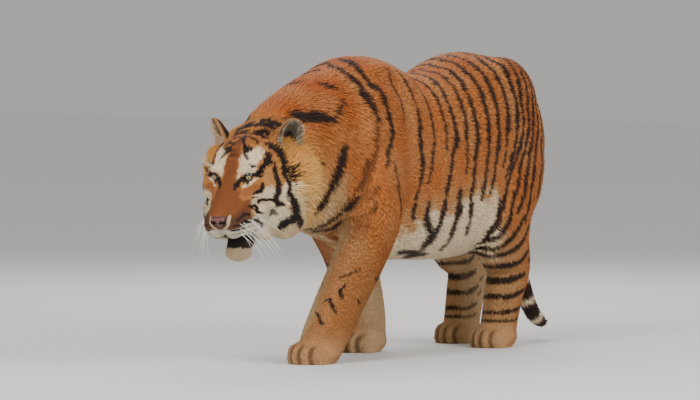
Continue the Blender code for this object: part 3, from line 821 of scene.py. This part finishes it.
def body_colours(points, normals):
    x, y, z = points.T
    off = x < 0
    side = np.where(off, -1, 1)
    patchy, ragged = wander(points, 0.16, 3), wander(points, 0.018, 4)
    legs, nearest = leg_share(points)
    tail = tail_share(points)
    _, behind, above = in_head(points).T
    fringe = fall(behind, 0.24, 0.33) * ramp(-above, 0.0, 0.05) * (y < -0.6)
    edge = np.interp(y, *FLANK_EDGE)
    height = z + 0.012 * ragged + 0.020 * patchy + 0.018 * wander(points, 0.05, 12)
    meet = legs + 1.2 * legs * (1 - legs) * (0.6 * ragged + wander(points, 0.05, 13))
    colour = layers(
        ORANGE,
        (DEEP, ramp(z, 0.62, 0.90) * ramp(-y, 0.35, 0.75)),
        (DEEP, 0.45 * ramp(z, 0.86, 0.97)),
        (TAN, 0.30 + 0.25 * patchy),
        (paint(206, 160, 108), 0.85 * fall(height, edge - 0.01, edge + 0.10) * (1 - legs)),
        (WHITE, fall(height, edge - 0.035, edge + 0.030) * (1 - np.clip(meet, 0, 1))),
        (layers(GOLD, (paint(232, 184, 114), ramp(-above, 0.10, 0.22))), 0.95 * fringe))
    front = nearest < 2
    ahead, outer = -normals[:, 1], normals[:, 0] * side
    shin = layers(
        colour,
        (paint(154, 84, 36), 0.8 * front * fall(z, 0.30, 0.50)),
        (paint(196, 136, 86), 0.8 * ramp(ahead - 0.5 * outer, 0.25, 0.75) * fall(z, 0.34, 0.50)),
        (paint(190, 146, 96),
         0.85 * ~front * ramp(ahead + 0.12 * ragged, -0.35, 0.35) * fall(z, 0.30, 0.42)),
        (paint(210, 178, 134), 0.9 * ramp(-outer + 0.15 * patchy + 0.10 * ragged, -0.10, 0.65)),
        (paint(208, 164, 118), 0.55 * fall(z, 0.03, 0.13)),
        # painted shade: the creases between the toes are darkened
        (paint(92, 62, 42), 0.75 * toe_crease_shade(points)))
    reach = np.hypot((y + 0.74) / 0.15, (z - 0.47) / 0.13) + 0.10 * (ragged + patchy)
    inward = fall(0.84 * np.abs(x) + 0.545 * y, -0.262, -0.212) * (y > -0.86) * (1 - fringe)
    armpit = 0.9 * inward * fall(reach, 0.65, 1.15)
    colour = layers(colour, (shin, legs), (paint(198, 156, 106), armpit))
    spots = flank_map(points)
    shifted = spots.copy()
    shifted[off, 0] += 0.016 * np.sin(9 * spots[off, 0] + 1) + 0.020
    shifted[off, 1] += 0.010 * np.sin(13 * spots[off, 0])
    shifted += 0.004 * sway(points, 0.06, 5)
    chest = 1 - 0.8 * ramp(ahead, 0.55, 0.85) * (y < -0.3)
    ink = inked(shifted, BODY_MARKS, 0.5 * ragged, 0.00125, 0.0036)
    ink *= chest * (1 - legs * fall(z, 0.36, 0.44))
    for rows, kind, span in ((HIND_MARKS, "hind", y > 0.02), (FRONT_MARKS, "front", y < 0.02)):
        left, right = (leg_middle(LEG_PATHS[kind + end], z) for end in ("_left", "_right"))
        on_leg = spots + 0.0012 * ragged[:, None]
        on_leg[off, 0] -= (right[1] - left[1])[off]
        if kind == "front":
            middle = np.where(off, right, left)
            on_leg[:, 0] = 0.08 * np.arctan2(side * (x - middle[0]), middle[1] - y)
        share = inked(on_leg, rows, 0.4 * ragged, 0.00115, 0.0012)
        share *= (1 - 0.45 * ramp(-outer, 0.0, 0.6)) * span * fall(z, 0.46, 0.50)
        ink = np.maximum(ink, share)
    _, along = path_distance(points, TAIL_PATH)
    pale = layers(colour, (WHITE, 0.85 * ramp(along + 0.01 * ragged, 0.30, 0.62)))
    rings = np.max([fall(np.abs(along - place + 0.003 * ragged), 0.012 * size, 0.024 * size)
                    for place, size in TAIL_RINGS], 0)
    ink += (rings - ink) * tail
    return layers(colour, (pale, tail), (INK, 1 - (1 - np.clip(ink, 0, 1)) ** 2))


def face_colours(points, normals):
    places = in_head(points)
    ways = normals @ HEAD_ROWS
    x, y, z = places.T
    wide = np.abs(x)
    ragged = wander(points, 0.012, 7)
    spots = face_map(places)
    calm = np.interp(np.hypot(*spots.T), [18, 34], [0.2, 0.8])[:, None]
    spots = spots + calm * sway(points, 0.03, 8)
    colour = layers(
        paint(192, 126, 66),
        (GOLD, 0.7 * ramp(spots[:, 0], 70, 100)),
        (CREAM, ramp(-spots[:, 1], 50, 70)))
    for u, v, half, tall, shade in FACE_FIELDS:
        reach = np.hypot((spots[:, 0] - u) / half, (spots[:, 1] - v) / tall)
        colour = layers(colour, (shade, fall(reach + 0.06 * ragged, 0.80, 1.15)))
    streak, _ = path_distance(columns(wide, z), NOSE_STREAK)
    colour = layers(
        colour,
        (paint(92, 58, 42), 0.9 * ramp(-z, 0.058, 0.074) * fall(y, -0.095, -0.045)),
        (paint(212, 200, 178), ramp(-z, 0.098, 0.108) * fall(y, -0.05, -0.01)),
        (CREAM, 0.9 * fall(streak, 0.0022, 0.0055) * (y < -0.10)),
        (paint(216, 192, 152), ramp(-z, 0.165, 0.185) * fall(y, 0.02, 0.09)),
        (WHITE, inked(spots, PALE_MARKS, ragged)))
    ink = np.max([inked(spots, rows, ragged) * (x * only >= 0)
                  for only, rows in FACE_MARKS.items()], 0)
    radius, opening, ahead = lid_measure(folded(places))
    # The mouth's gap: its lips are black, and its inside is painted dark as painted shade.
    mouth = ramp(-z, 0.136, 0.146) * fall(-z, 0.188, 0.196) * (y < 0.0) * (wide < 0.075)
    lower_lip = 0.92 * ramp(z + 0.6 * y + 0.002 * ragged, -0.263, -0.255) * ramp(-z, 0.176, 0.182)
    for share in (
            fall(opening, 1.42, 1.70) * (radius < LID_REACH) * (ahead > 0),
            fall(gap_to(places, LIP_LINE), 0.0045, 0.0085),
            # the gap's faces that look up or down: black lip edges, and painted shade inside the
            # mouth
            mouth * ramp(np.abs(ways[:, 2]), 0.30, 0.60),
            # painted shade filling the mouth's inside
            (wide < 0.052) & (y > -0.118) & (y < -0.02) & (z < -0.150) & (z > -0.186),
            lower_lip * (wide < 0.058) * fall(y, -0.045, -0.030)):
        ink = np.maximum(ink, share)
    reach = nose_reach(places)
    nose = layers(
        paint(134, 92, 90),
        (paint(44, 32, 34), 0.15 + 0.6 * ramp(reach, 0.7, 1.0)),
        # painted shade: the nostrils' holes are painted near-black
        (paint(14, 10, 10), fall(gap_to(places, NOSTRIL), 0.0045, 0.0085)))
    return layers(
        colour,
        (paint(36, 26, 24), 1 - (1 - np.clip(ink, 0, 1)) ** 2.2),
        (nose, fall(reach, 0.98, 1.10)))


def nose_reach(places):
    """Under 1 on the bare nose pad, which narrows downwards to the lip's groove."""
    x, y, z = places.T
    wide = np.interp(z, mm([-100, -90, -74, -60, -53]), mm([3, 10, 27, 28, 20]))
    reach = np.maximum(np.abs(x) / wide, np.abs(z - PAD_MIDDLE) / PAD_HALF)
    return np.where(y < PAD_FRONT, reach, 9.0)


def coat_colours(points, normals):
    """The colour of skin and coat alike, wherever they are."""
    share = face_share(points)
    colour = np.zeros((len(points), 3))
    on_body, on_head = share < 0.999, share > 0.001
    if on_body.any():
        colour[on_body] = body_colours(points[on_body], normals[on_body])
    if on_head.any():
        face = face_colours(points[on_head], normals[on_head])
        colour[on_head] = layers(colour[on_head], (face, share[on_head]))
    return colour


def bare_share(points):
    """Where no hair grows: nose pad, lips, mouth and the rims of the lids."""
    places = in_head(points)
    x, y, z = places.T
    radius, opening, ahead = lid_measure(folded(places))
    bare = nose_reach(places) < 1.05
    bare |= (opening < 1.45) & (ahead > 0) & (radius < LID_REACH)
    bare |= gap_to(places, LIP_LINE) < 0.0055
    bare |= (np.abs(x) < 0.054) & (y > -0.12) & (y < -0.005) & (z < -0.148) & (z > -0.188)
    bare |= (np.abs(x) < 0.058) & (y < -0.038) & (z < -0.176) & (z + 0.6 * y > -0.258)
    return bare & (face_share(points) > 0.5)


# ---- finishes ----


def add_node(tree, kind, **inputs):
    """A shader node, its inputs set to values or fed from other nodes' outputs."""
    made = tree.nodes.new("ShaderNode" + kind)
    set_inputs(tree, made, **inputs)
    return made


def set_inputs(tree, node, **inputs):
    for name, value in inputs.items():
        socket = node.inputs[name.replace("_", " ")]
        if isinstance(value, bpy.types.NodeSocket):
            tree.links.new(value, socket)
        else:
            socket.default_value = value


def finish(name, roughness, gloss, bump_size=0, bump=0.0, mottled=0.15):
    """A finish that takes its colour from the markings, with fine mottling and bump."""
    made = bpy.data.materials.new(name)
    made.use_nodes = True
    tree = made.node_tree
    place = add_node(tree, "TexCoord").outputs["Object"]
    marks_node = add_node(tree, "VertexColor")
    marks_node.layer_name = "Coat"
    noise = add_node(tree, "TexNoise", Scale=90.0, Detail=3.0, Vector=place)
    span = add_node(tree, "MapRange", Value=noise.outputs["Fac"],
                    To_Min=1 - mottled, To_Max=1 + mottled)
    scale = add_node(tree, "VectorMath")
    scale.operation = "SCALE"
    set_inputs(tree, scale, Vector=marks_node.outputs["Color"], Scale=span.outputs["Result"])
    shader = tree.nodes["Principled BSDF"]
    set_inputs(tree, shader, Roughness=roughness, Specular_IOR_Level=gloss,
               Base_Color=scale.outputs["Vector"])
    if bump:
        grain = add_node(tree, "TexNoise", Scale=bump_size, Detail=4.0, Vector=place)
        relief = add_node(tree, "Bump", Strength=bump, Distance=0.002, Height=grain.outputs["Fac"])
        set_inputs(tree, shader, Normal=relief.outputs["Normal"])
    return made


SKIN_FINISH = finish("short fur over skin", 0.80, 0.25, 420.0, 0.5, 0.18)
COAT_FINISH = finish("tiger fur", 0.72, 0.20, mottled=0.10)
WHISKER_FINISH = finish("whisker", 0.35, 0.5, mottled=0.04)
CLAW_FINISH = finish("claw horn", 0.30, 0.5, 300.0, 0.2, 0.10)
EYE_FINISH = finish("wet eye", 0.08, 0.4, mottled=0.06)
set_inputs(EYE_FINISH.node_tree, EYE_FINISH.node_tree.nodes["Principled BSDF"],
           Coat_Weight=0.6, Coat_Roughness=0.03)


def dress(mesh, colours, look):
    layer = mesh.color_attributes.new("Coat", "FLOAT_COLOR", "POINT")
    flat = np.ones((len(colours), 4), np.float32)
    flat[:, :3] = np.clip(colours, 0, 1)
    layer.data.foreach_set("color", flat.ravel())
    mesh.polygons.foreach_set("use_smooth", np.ones(len(mesh.polygons), bool))
    mesh.materials.clear()
    mesh.materials.append(look)


def show(name, points, triangles, colours, look, slot):
    """A finished piece at home in the row's frame, riding on the one body."""
    points, triangles = np.array(points) + HOME, np.array(triangles)
    mesh = bpy.data.meshes.new(name)
    mesh.vertices.add(len(points))
    mesh.loops.add(len(triangles) * 3)
    mesh.polygons.add(len(triangles))
    mesh.vertices.foreach_set("co", points.astype(np.float32).ravel())
    mesh.loops.foreach_set("vertex_index", triangles.astype(np.int32).ravel())
    mesh.polygons.foreach_set("loop_start", np.arange(0, len(triangles) * 3, 3, dtype=np.int32))
    mesh.update(calc_edges=True)
    dress(mesh, colours, look)
    piece = add_object(name, mesh)
    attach(piece, "root")
    return piece


# ---- the skin ----

body = body_clay()
head = sculpt_head(head_clay())
body_points, body_normals, body_triangles = shape_of(body.data)
head_points, head_normals, head_triangles = shape_of(head.data)
for clay in (body, head):
    bpy.data.objects.remove(clay, do_unlink=True)
deep = coat_depth(head_points, head_normals)
deep += 0.012 * ramp(in_head(head_points)[:, 1], 0.18, 0.25)
head_skin = head_points - head_normals * deep[:, None]
body_skin = body_points - body_normals * coat_depth(body_points, body_normals)[:, None]
body_skin[:, 2] = np.where(body_points[:, 2] < 0.004, 0.0, np.maximum(body_skin[:, 2], 0.0))
ears = {side: ear_cup(side) for side in (1, -1)}


def ear_colours(points, side):
    """Black backs with a pale spot, grey-brown rims and pale hair inside, with painted shade low in
    the bowl; the far ear's inside is painted lighter, as lit through.
    """
    local = moved(points, ear_place(side).inverted())
    across, up = local[:, 0] / EAR_SIZE.x, local[:, 2] / EAR_SIZE.z
    reach = np.hypot(across, up)
    bowl = 0.80 * EAR_SIZE.y * np.sqrt(np.clip(1 - reach**2, 0, 1)) - 0.006 * reach**2
    back = local[:, 1] > bowl
    inside = layers(
        paint(116, 106, 88),
        # painted shade deep in the ear's bowl, low in its middle
        (paint(52, 40, 34), fall(np.hypot(across / 0.55, (up + 0.35) / 0.62), 0.7, 1.1)),
        (paint(160, 132, 98), ramp(reach, 0.80, 0.97)))
    outside = layers(
        INK,
        (WHITE, fall(np.hypot(across / 0.45, (up - 0.25) / 0.35), 0.7, 1.0)),
        (paint(176, 128, 84), ramp(reach, 0.84, 0.97) + ramp(-up, 0.35, 0.7)))
    # Painted light: the far ear's inside is lighter, as lit through from behind.
    if side < 0:
        inside = layers(inside, (paint(206, 164, 124), np.array(0.75)))
    return np.where(back[:, None], outside, inside), back, local


skin_parts = [(body_skin, body_triangles), (head_skin, head_triangles), *ears.values()]
skin_colours = np.concatenate([
    coat_colours(body_points, body_normals), coat_colours(head_points, head_normals),
    *(ear_colours(points, side)[0] for side, (points, _) in ears.items())])
# The skin's colours are darkened a little: painted shade under the coat.
skin = show("skin", *join(skin_parts), skin_colours * SKIN_PAINTED_SHADE, SKIN_FINISH, "coat")
flesh = [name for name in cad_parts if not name.startswith("eye")]
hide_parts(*flesh)

# ---- the coat ----

COATS = ["coat_face", "coat_ruff_left", "coat_neck", "coat_shoulders", "coat_barrel_front",
         "coat_barrel_rear", "coat_rump", "coat_forelegs", "coat_hind_legs", "coat_paws",
         "coat_tail", "coat_ruff_right"]
LONG_HAIR = ("coat_ruff_left", "coat_ruff_right", "coat_neck")


def coat_part(points):
    """Which coat piece a root belongs to, as its number in COATS."""
    y, z = points[:, 1], points[:, 2]
    part = np.select([y < -0.62, y < -0.33, y < -0.06, y < 0.20], [2, 3, 4, 5], 6)
    legs, nearest = leg_share(points)
    part = np.where(legs > 0.5, np.where(nearest < 2, 7, 8), part)
    part[z < 0.105] = 9
    part[tail_share(points) > 0.5] = 10
    x, behind, _ = in_head(points).T
    on_head = np.where(behind < 0.045, 0, np.where(x > 0, 1, 11))
    return np.where(face_share(points) > 0.5, on_head, part)


def by_place(values, stops, rows):
    """Rows of numbers, one for each stop, read at the values given."""
    return columns(*(np.interp(values, stops, column) for column in zip(*rows)))


LEG_HEIGHTS = [0.0, 0.06, 0.12, 0.30, 0.50]
LEG_COAT = [(76000, 0.008, 0.0012, 0.0012), (76000, 0.010, 0.0013, 0.0020),
            (72000, 0.013, 0.0015, 0.0028), (54000, 0.020, 0.0017, 0.0042),
            (45000, 0.026, 0.0018, 0.0055)]
HEAD_STOPS = [-0.13, -0.06, 0.00, 0.06, 0.12, 0.20]
HEAD_COAT = [(250000, 0.0050, 0.0007, 0.0009), (190000, 0.0080, 0.0009, 0.0015),
             (150000, 0.0110, 0.0011, 0.0022), (96000, 0.020, 0.0014, 0.0042),
             (56000, 0.042, 0.0019, 0.0100), (40000, 0.060, 0.0023, 0.0150)]


def coat_sizes(points, normals):
    """Tufts per square metre, length, half width and the tips' height over the skin."""
    z = points[:, 2]
    legs, _ = leg_share(points)
    _, behind, above = in_head(points).T
    head = layers(
        by_place(behind, HEAD_STOPS, HEAD_COAT),
        ((84000, 0.022, 0.0014, 0.0045), ramp(above, 0.02, 0.06) * ramp(behind, 0.05, 0.12)),
        ((130000, 0.014, 0.0012, 0.0030), ramp(-above, 0.18, 0.21) * fall(behind, 0.0, 0.06)))
    return layers(
        (42000, 0.030, 0.0018, 0.0046),
        ((38000, 0.046, 0.0021, 0.0080), ramp(-normals[:, 2], 0.25, 0.75) * (1 - legs)),  # belly
        ((38000, 0.052, 0.0022, 0.0095), ramp(-points[:, 1], 0.52, 0.72) * (1 - legs)),  # neck
        (by_place(z, LEG_HEIGHTS, LEG_COAT), legs),
        ((72000, 0.022, 0.0017, 0.0050), tail_share(points)),
        ((60000, 0.015, 0.0016, 0.0030), fall(norm(points - [0, 0.52, 0.89]), 0.05, 0.11)),
        (head, face_share(points)))


def round_about(sideways, other):
    """A turn as a share of a full one."""
    return np.arctan2(sideways, other) / (2 * math.pi) + 0.5


def coat_map(points, part):
    """Each root's place on an unwrap of the skin: turned round the limb, trunk or head."""
    x, y, z = points.T
    spread = np.zeros((len(points), 2))
    if part in (0, 1, 11):
        off = in_head(points) - FACE_MIDDLE
        across = np.hypot(off[:, 0], off[:, 2]) + 1e-9
        turn = (np.arctan2(across, -off[:, 1]) / math.pi) ** 0.8 * 0.49
        spread = 0.5 + turn[:, None] * off[:, [0, 2]] / across[:, None]
    elif part in (2, 3, 4, 5, 6):
        spread = columns((y - y.min()) / (np.ptp(y) + 1e-9), round_about(x, 0.62 - z))
    elif part in (7, 8, 9):
        _, nearest = leg_share(points)
        count, tall = (4, 0.12) if part == 9 else (2, 0.75)
        for number, path in enumerate(LEG_PATHS.values()):
            middle = leg_middle(path, z)
            turn = round_about(x - middle[0], y - middle[1])
            own = columns((number % count + turn) / count, z / tall)
            spread = np.where((nearest == number)[:, None], own, spread)
    elif part == 10:
        behind = y - np.interp(z, TAIL_PATH[::-1, 2], TAIL_PATH[::-1, 1])
        spread = columns(path_distance(points, TAIL_PATH)[1], round_about(x, behind))
    return np.clip(spread, 0, 1) * 0.98 + 0.01


def grow(name, roots, normals, ways, length, half, rise, colours, spots, long_hair=False):
    """One coat piece: closed tapering tufts that bow along the skin."""
    count = len(roots)

    def varied(low, high):
        return rng.uniform(low, high, count)[:, None]

    side = unit(np.cross(ways, normals))
    turn = rng.normal(0, 0.14 if long_hair else 0.09, count)[:, None]
    ways = ways * np.cos(turn) + side * np.sin(turn)
    side = unit(np.cross(ways, normals))
    length = length[:, None] * varied(0.75, 1.2)
    half = half[:, None] * varied(0.8, 1.2)
    rise = rise[:, None] * varied(0.55, 1.15)
    drift = rng.normal(0, 0.05, count)[:, None] * length
    # Along, up and the width of each ring of a tuft.
    stations = [(0.38, 0.62, 1.0), (0.72, 0.95, 0.72)] if long_hair else [(0.42, 0.75, 1.0)]
    points = [roots - normals * HAIR_ROOT]
    flat = [(0, -0.5)]
    for along, up, wide in stations:
        middle = roots + ways * length * along + normals * rise * up + side * drift * along
        points += [middle - side * half * wide, middle + side * half * wide,
                   middle + normals * half * 0.20 * wide]
        flat += [(-0.5 * wide, along - 0.5), (0.5 * wide, along - 0.5), (0.0, along - 0.42)]
    points.append(roots + ways * length + normals * rise * 0.9 + side * drift * 1.6)
    points = np.stack(points, 1)
    last = points.shape[1] - 1
    sides = [(0, 2, 3), (0, 3, 1), (0, 1, 2)]
    if long_hair:
        for a, b in ((1, 2), (2, 3), (3, 1)):
            sides += [(a, a + 3, b), (b, a + 3, b + 3)]
    base = last - 3
    sides += [(last, base + 2, base + 1), (last, base, base + 2), (last, base + 1, base)]
    starts = np.arange(count) * (last + 1)
    triangles = (np.array(sides) + starts[:, None, None]).reshape(-1, 3)
    vary = rng.normal(1.0, 0.035, count)[:, None]
    *bands, end_band = (np.clip(c * vary, 0, 1)[:, None] for c in colours)
    # Painted shade: a tuft's root ring is darker, as deep in the coat, and its tip a little
    # lighter.
    tones = [bands[0] * (0.80 if long_hair else 0.92)]
    for band in bands:
        tones += [band] * 3
    tones = np.concatenate([*tones, end_band * 1.04], 1).reshape(-1, 3)
    points = points.reshape(-1, 3)
    points[:, 2] = np.maximum(points[:, 2], HAIR_FLOOR)
    piece = show(name, points, triangles, tones, COAT_FINISH, "coat")
    places = (spots[:, None] + np.array([*flat, (0, 0.5)]) * PATCH).reshape(-1, 2)
    layer = piece.data.uv_layers.new(name="OFBake")
    layer.data.foreach_set("uv", places[triangles.ravel()].astype(np.float32).ravel())


def scatter(points, normals, triangles, density):
    """Roots spread over the triangles at the density given for each of them."""
    amount = np.cumsum(norm(face_normals(points, triangles)) / 2 * density)
    count = int(amount[-1])
    at = np.minimum(np.searchsorted(amount, np.arange(count) + rng.uniform(0, 1, count)),
                    len(triangles) - 1)
    a, b = rng.uniform(0, 1, (2, count))
    over = a + b > 1
    a[over], b[over] = 1 - a[over], 1 - b[over]
    weights = columns(1 - a - b, a, b)[:, :, None]
    chosen = triangles[at]
    roots, facing = ((values[chosen] * weights).sum(1) for values in (points, normals))
    return roots, unit(facing), chosen, weights


def clothe(share):
    """The whole coat, sampled over the outer clay and set down on the skin."""
    found = []
    for outer, normals, inner, triangles, fine in (
            (body_points, body_normals, body_skin, body_triangles, False),
            (head_points, head_normals, head_skin, head_triangles, True)):
        middles = outer[triangles].mean(1)
        facing = unit(normals[triangles].mean(1))
        behind = in_head(middles)[:, 1]
        keep = behind < HEAD_COAT_END
        if not fine:
            keep = ~((behind < BODY_COAT_START) & (face_share(middles) > 0.5))
        keep &= ~bare_share(middles)
        keep &= ~((middles[:, 2] < SOLE_HEIGHT) & (facing[:, 2] < -0.6))
        density = coat_sizes(middles, facing)[:, 0] * keep * share
        roots, facing, chosen, weights = scatter(outer, normals, triangles, density)
        found.append((roots, facing, (inner[chosen] * weights).sum(1)))
    outer, normals, roots = (np.concatenate(part) for part in zip(*found))
    part = coat_part(outer)
    for number, name in enumerate(COATS):
        here = part == number
        spot, normal = outer[here], normals[here]
        _, length, half, rise = coat_sizes(spot, normal).T
        ways = lie_of_coat(spot, normal)
        long_hair = name in LONG_HAIR
        colours = [coat_colours(spot + ways * (length * reach)[:, None], normal)
                   for reach in ((0.38, 0.68, 0.90) if long_hair else (0.40, 0.80))]
        grow(name, roots[here], normal, ways, length, half / math.sqrt(share), rise, colours,
             coat_map(spot, number), long_hair)


def ear_coat(share):
    found = []
    for side, (points, triangles) in ears.items():
        facing = unit(face_normals(points, triangles))
        spread = np.zeros_like(points)
        for k in range(3):
            np.add.at(spread, triangles[:, k], facing)
        density = np.full(len(triangles), EAR_TUFTS * share)
        root, normal, _, _ = scatter(points, unit(spread), triangles, density)
        colour, back, local = ear_colours(root, side)
        x, _, z = local.T
        out = columns(x * 0.8, 0 * x + 0.02, z + 0.05)
        inner = columns(-x * 0.3, 0 * x - 0.03, z * 0.2 + 0.03)
        way = unit(np.where(back[:, None], out, inner)) @ np.array(ear_place(side))[:3, :3].T
        way = unit(along_skin(way, normal, np.where(back, 1.0, 0.5)[:, None]))
        rim = ramp(np.hypot(x / EAR_SIZE.x, z / EAR_SIZE.z), 0.45, 0.8) * ~back
        pale = rng.uniform(0, 1, len(root)) > 0.55
        colour = layers(colour, (paint(206, 190, 164), 0.75 * rim * pale))
        length = np.where(back, 0.009, 0.010 + 0.014 * rim)
        middle = columns(np.where(back, 0.25, 0.75), 0 * x + (0.25 if side > 0 else 0.75))
        spot = middle + columns(x / EAR_SIZE.x, z / EAR_SIZE.z) * 0.115
        found.append((root, normal, way, colour, length, spot))
    root, normal, way, colour, length, spot = (np.concatenate(part) for part in zip(*found))
    grow("coat_ears", root, normal, way, length, 0 * length + 0.0010, length * 0.22,
         [colour, colour], spot)


clothe(1.0)
ear_coat(1.0)

# ---- eyes, whiskers and claws ----


def eyeball(side, name):
    """A clear-coated ball whose pole looks ahead, with pupil, iris and dark surround."""
    look = unit(mirrored(EYE_AHEAD, side) + np.array([0.0, 0.0, -0.16])) @ HEAD_ROWS.T
    bpy.ops.object.select_all(action="DESELECT")
    bpy.ops.mesh.primitive_uv_sphere_add(segments=56, ring_count=72, radius=EYE_RADIUS)
    ball_piece = bpy.context.object
    ball_piece.name = name
    mesh = ball_piece.data
    points = shape_of(mesh)[0]
    angle = np.degrees(np.arccos(np.clip(points[:, 2] / EYE_RADIUS, -1, 1)))
    around = np.arctan2(points[:, 1], points[:, 0])
    rays = 0.35 + 0.35 * np.sin(around * 19) * np.sin(around * 31 + 1)
    colour = layers(
        paint(180, 174, 112),
        (paint(104, 102, 60), rays + ramp(angle, 16, 27)),
        (paint(12, 10, 8), fall(angle, *PUPIL)),
        (paint(20, 14, 10), ramp(angle, *IRIS_EDGE)))
    turn = np.array(Vector((0, 0, 1)).rotation_difference(Vector(look)).to_matrix())
    put_points(mesh, points @ turn.T + out_of_head(mirrored(EYE_CENTRE, side)) + HOME)
    dress(mesh, colour, EYE_FINISH)
    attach(ball_piece, "root")
    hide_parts(name.replace("ball", "eye"))


eyeball(1, "ball_left")
eyeball(-1, "ball_right")


def taper(path, thick, sides=6):
    """A closed tapering hair or claw round a path."""
    way = unit(np.gradient(path, axis=0))
    side = unit(np.cross(way, [0.31, 0.17, 0.93]))
    up = np.cross(way, side)
    turns = 2 * math.pi * np.arange(sides)[:, None] / sides
    verts = [path[0]]
    for point, s, u, r in zip(path[1:-1], side[1:-1], up[1:-1], thick[1:-1]):
        verts += list(point + r * (np.cos(turns) * s + np.sin(turns) * u))
    verts.append(path[-1])
    faces, last = [], 1 + (len(path) - 3) * sides
    for k in range(sides):
        after = (k + 1) % sides
        faces.append((0, 1 + after, 1 + k))
        for a in range(1, last, sides):
            b = a + sides
            faces += [(a + k, a + after, b + k), (a + after, b + after, b + k)]
        faces.append((len(verts) - 1, last + k, last + after))
    return verts, faces


def joined(name, parts, colour, look):
    verts, faces = join(parts)
    show(name, verts, faces, np.tile(colour, (len(verts), 1)), look, "coat")


def whiskers():
    hairs = []
    steps = np.linspace(0, 1, 11)[:, None]

    def hair(start, first, second, side, thick):
        path = out_of_head(mirrored(start + steps * first + steps**2 * second, side))
        hairs.append(taper(path, thick * (1 - 0.85 * steps[:, 0])))

    for side in (1, -1):
        for row in range(4):
            for column in range(5):
                start = mm([50 + 4.5 * column, -132 + 13 * column, -86 - 12.5 * row - 2 * column])
                long = rng.uniform(0.09, 0.15) * (0.75 + 0.10 * column)
                first = np.array([0.70, 0.02 + 0.05 * column, -0.24 - 0.12 * row])
                first = unit(first + rng.normal(0, 0.09, 3))
                sag = np.array([-0.22, 0.02, -0.68]) + rng.normal(0, 0.08, 3)
                hair(start, long * first, long * sag, side, WHISKER_HALF)
        for k in range(4):
            first = unit(np.array([0.55, -0.25, 0.55]) + rng.normal(0, 0.10, 3))
            lift = BROW_HAIR * np.array([0.15, 0.45, -0.05])
            hair(mm([46 + 6 * k, 6 * k, 26]), BROW_HAIR * first, lift, side, BROW_HAIR_HALF)
    joined("whiskers", hairs, paint(240, 236, 224), WHISKER_FINISH)


def claws():
    parts = []
    curve = np.linspace(0, 1, 8)[:, None]
    for name, (side, paw, _) in LEGS.items():
        half_width, half_length = PAW_SIZES[name.split("_")[0]]
        for place, reach in TOES:
            tip = (side * paw[0] + place * half_width, paw[1] - (reach + 0.31) * half_length, 0.022)
            way = unit(np.array([place * 0.3, -1.0, 0.0]))
            path = tip + way * CLAW_LENGTH * curve - np.array([0, 0, CLAW_DROP]) * curve**2
            parts.append(taper(path, CLAW_HALF * (1 - curve[:, 0]) ** 0.7 + 0.0003, 8))
    joined("claws", parts, paint(150, 132, 108), CLAW_FINISH)


whiskers()
claws()

# ---- floor, light and camera ----


def stage():
    bpy.ops.object.select_all(action="DESELECT")
    bpy.ops.mesh.primitive_plane_add(size=60, location=(0, 0, 0))
    floor = bpy.context.object
    floor.name = "floor"
    look = bpy.data.materials.new("pale floor")
    look.use_nodes = True
    set_inputs(look.node_tree, look.node_tree.nodes["Principled BSDF"],
               Base_Color=(0.637, 0.634, 0.631, 1), Roughness=0.9)
    floor.data.materials.append(look)
    world = bpy.data.worlds.new("studio")
    world.use_nodes = True
    tree = world.node_tree
    split = add_node(tree, "SeparateXYZ", Vector=add_node(tree, "TexCoord").outputs["Generated"])
    rise = add_node(tree, "MapRange", Value=split.outputs["Z"], From_Min=0.02, From_Max=0.55)
    mix = tree.nodes.new("ShaderNodeMix")
    mix.data_type = "RGBA"
    set_inputs(tree, mix, Factor=rise.outputs["Result"], A=(0.76, 0.745, 0.72, 1),
               B=(1.15, 1.12, 1.07, 1))
    set_inputs(tree, tree.nodes["Background"], Color=mix.outputs["Result"], Strength=0.60)
    bpy.context.scene.world = world
    for name, spot, size, power in (
            ("key", (0.6, -5.2, 4.4), 3.0, 300), ("fill", (5.0, -0.6, 3.0), 3.2, 190),
            ("rim", (-2.5, 4.0, 4.0), 3.0, 150)):
        light = bpy.data.lights.new(name, "AREA")
        light.shape = "DISK"
        light.size = size
        light.energy = power
        lamp = add_object(name, light)
        lamp.location = spot
        aim = Vector((0, -0.1, 0.5)) - Vector(spot)
        lamp.rotation_euler = aim.to_track_quat("-Z", "Y").to_euler()


def camera():
    round_to, above, away, width = math.radians(33), math.radians(2), 20.0, 2.31
    back = Vector((math.sin(round_to) * math.cos(above), -math.cos(round_to) * math.cos(above),
                   math.sin(above)))
    right = Vector((math.cos(round_to), math.sin(round_to), 0))
    target = right * -0.2315 + Vector((0, 0, 0.495)) + Vector(HOME)
    lens = bpy.data.cameras.new("camera")
    lens.sensor_width = 36
    lens.lens = 36 * away / width
    eye = add_object("camera", lens)
    eye.location = target + back * away
    eye.rotation_euler = (-back).to_track_quat("-Z", "Y").to_euler()
    bpy.context.scene.camera = eye


stage()
camera()
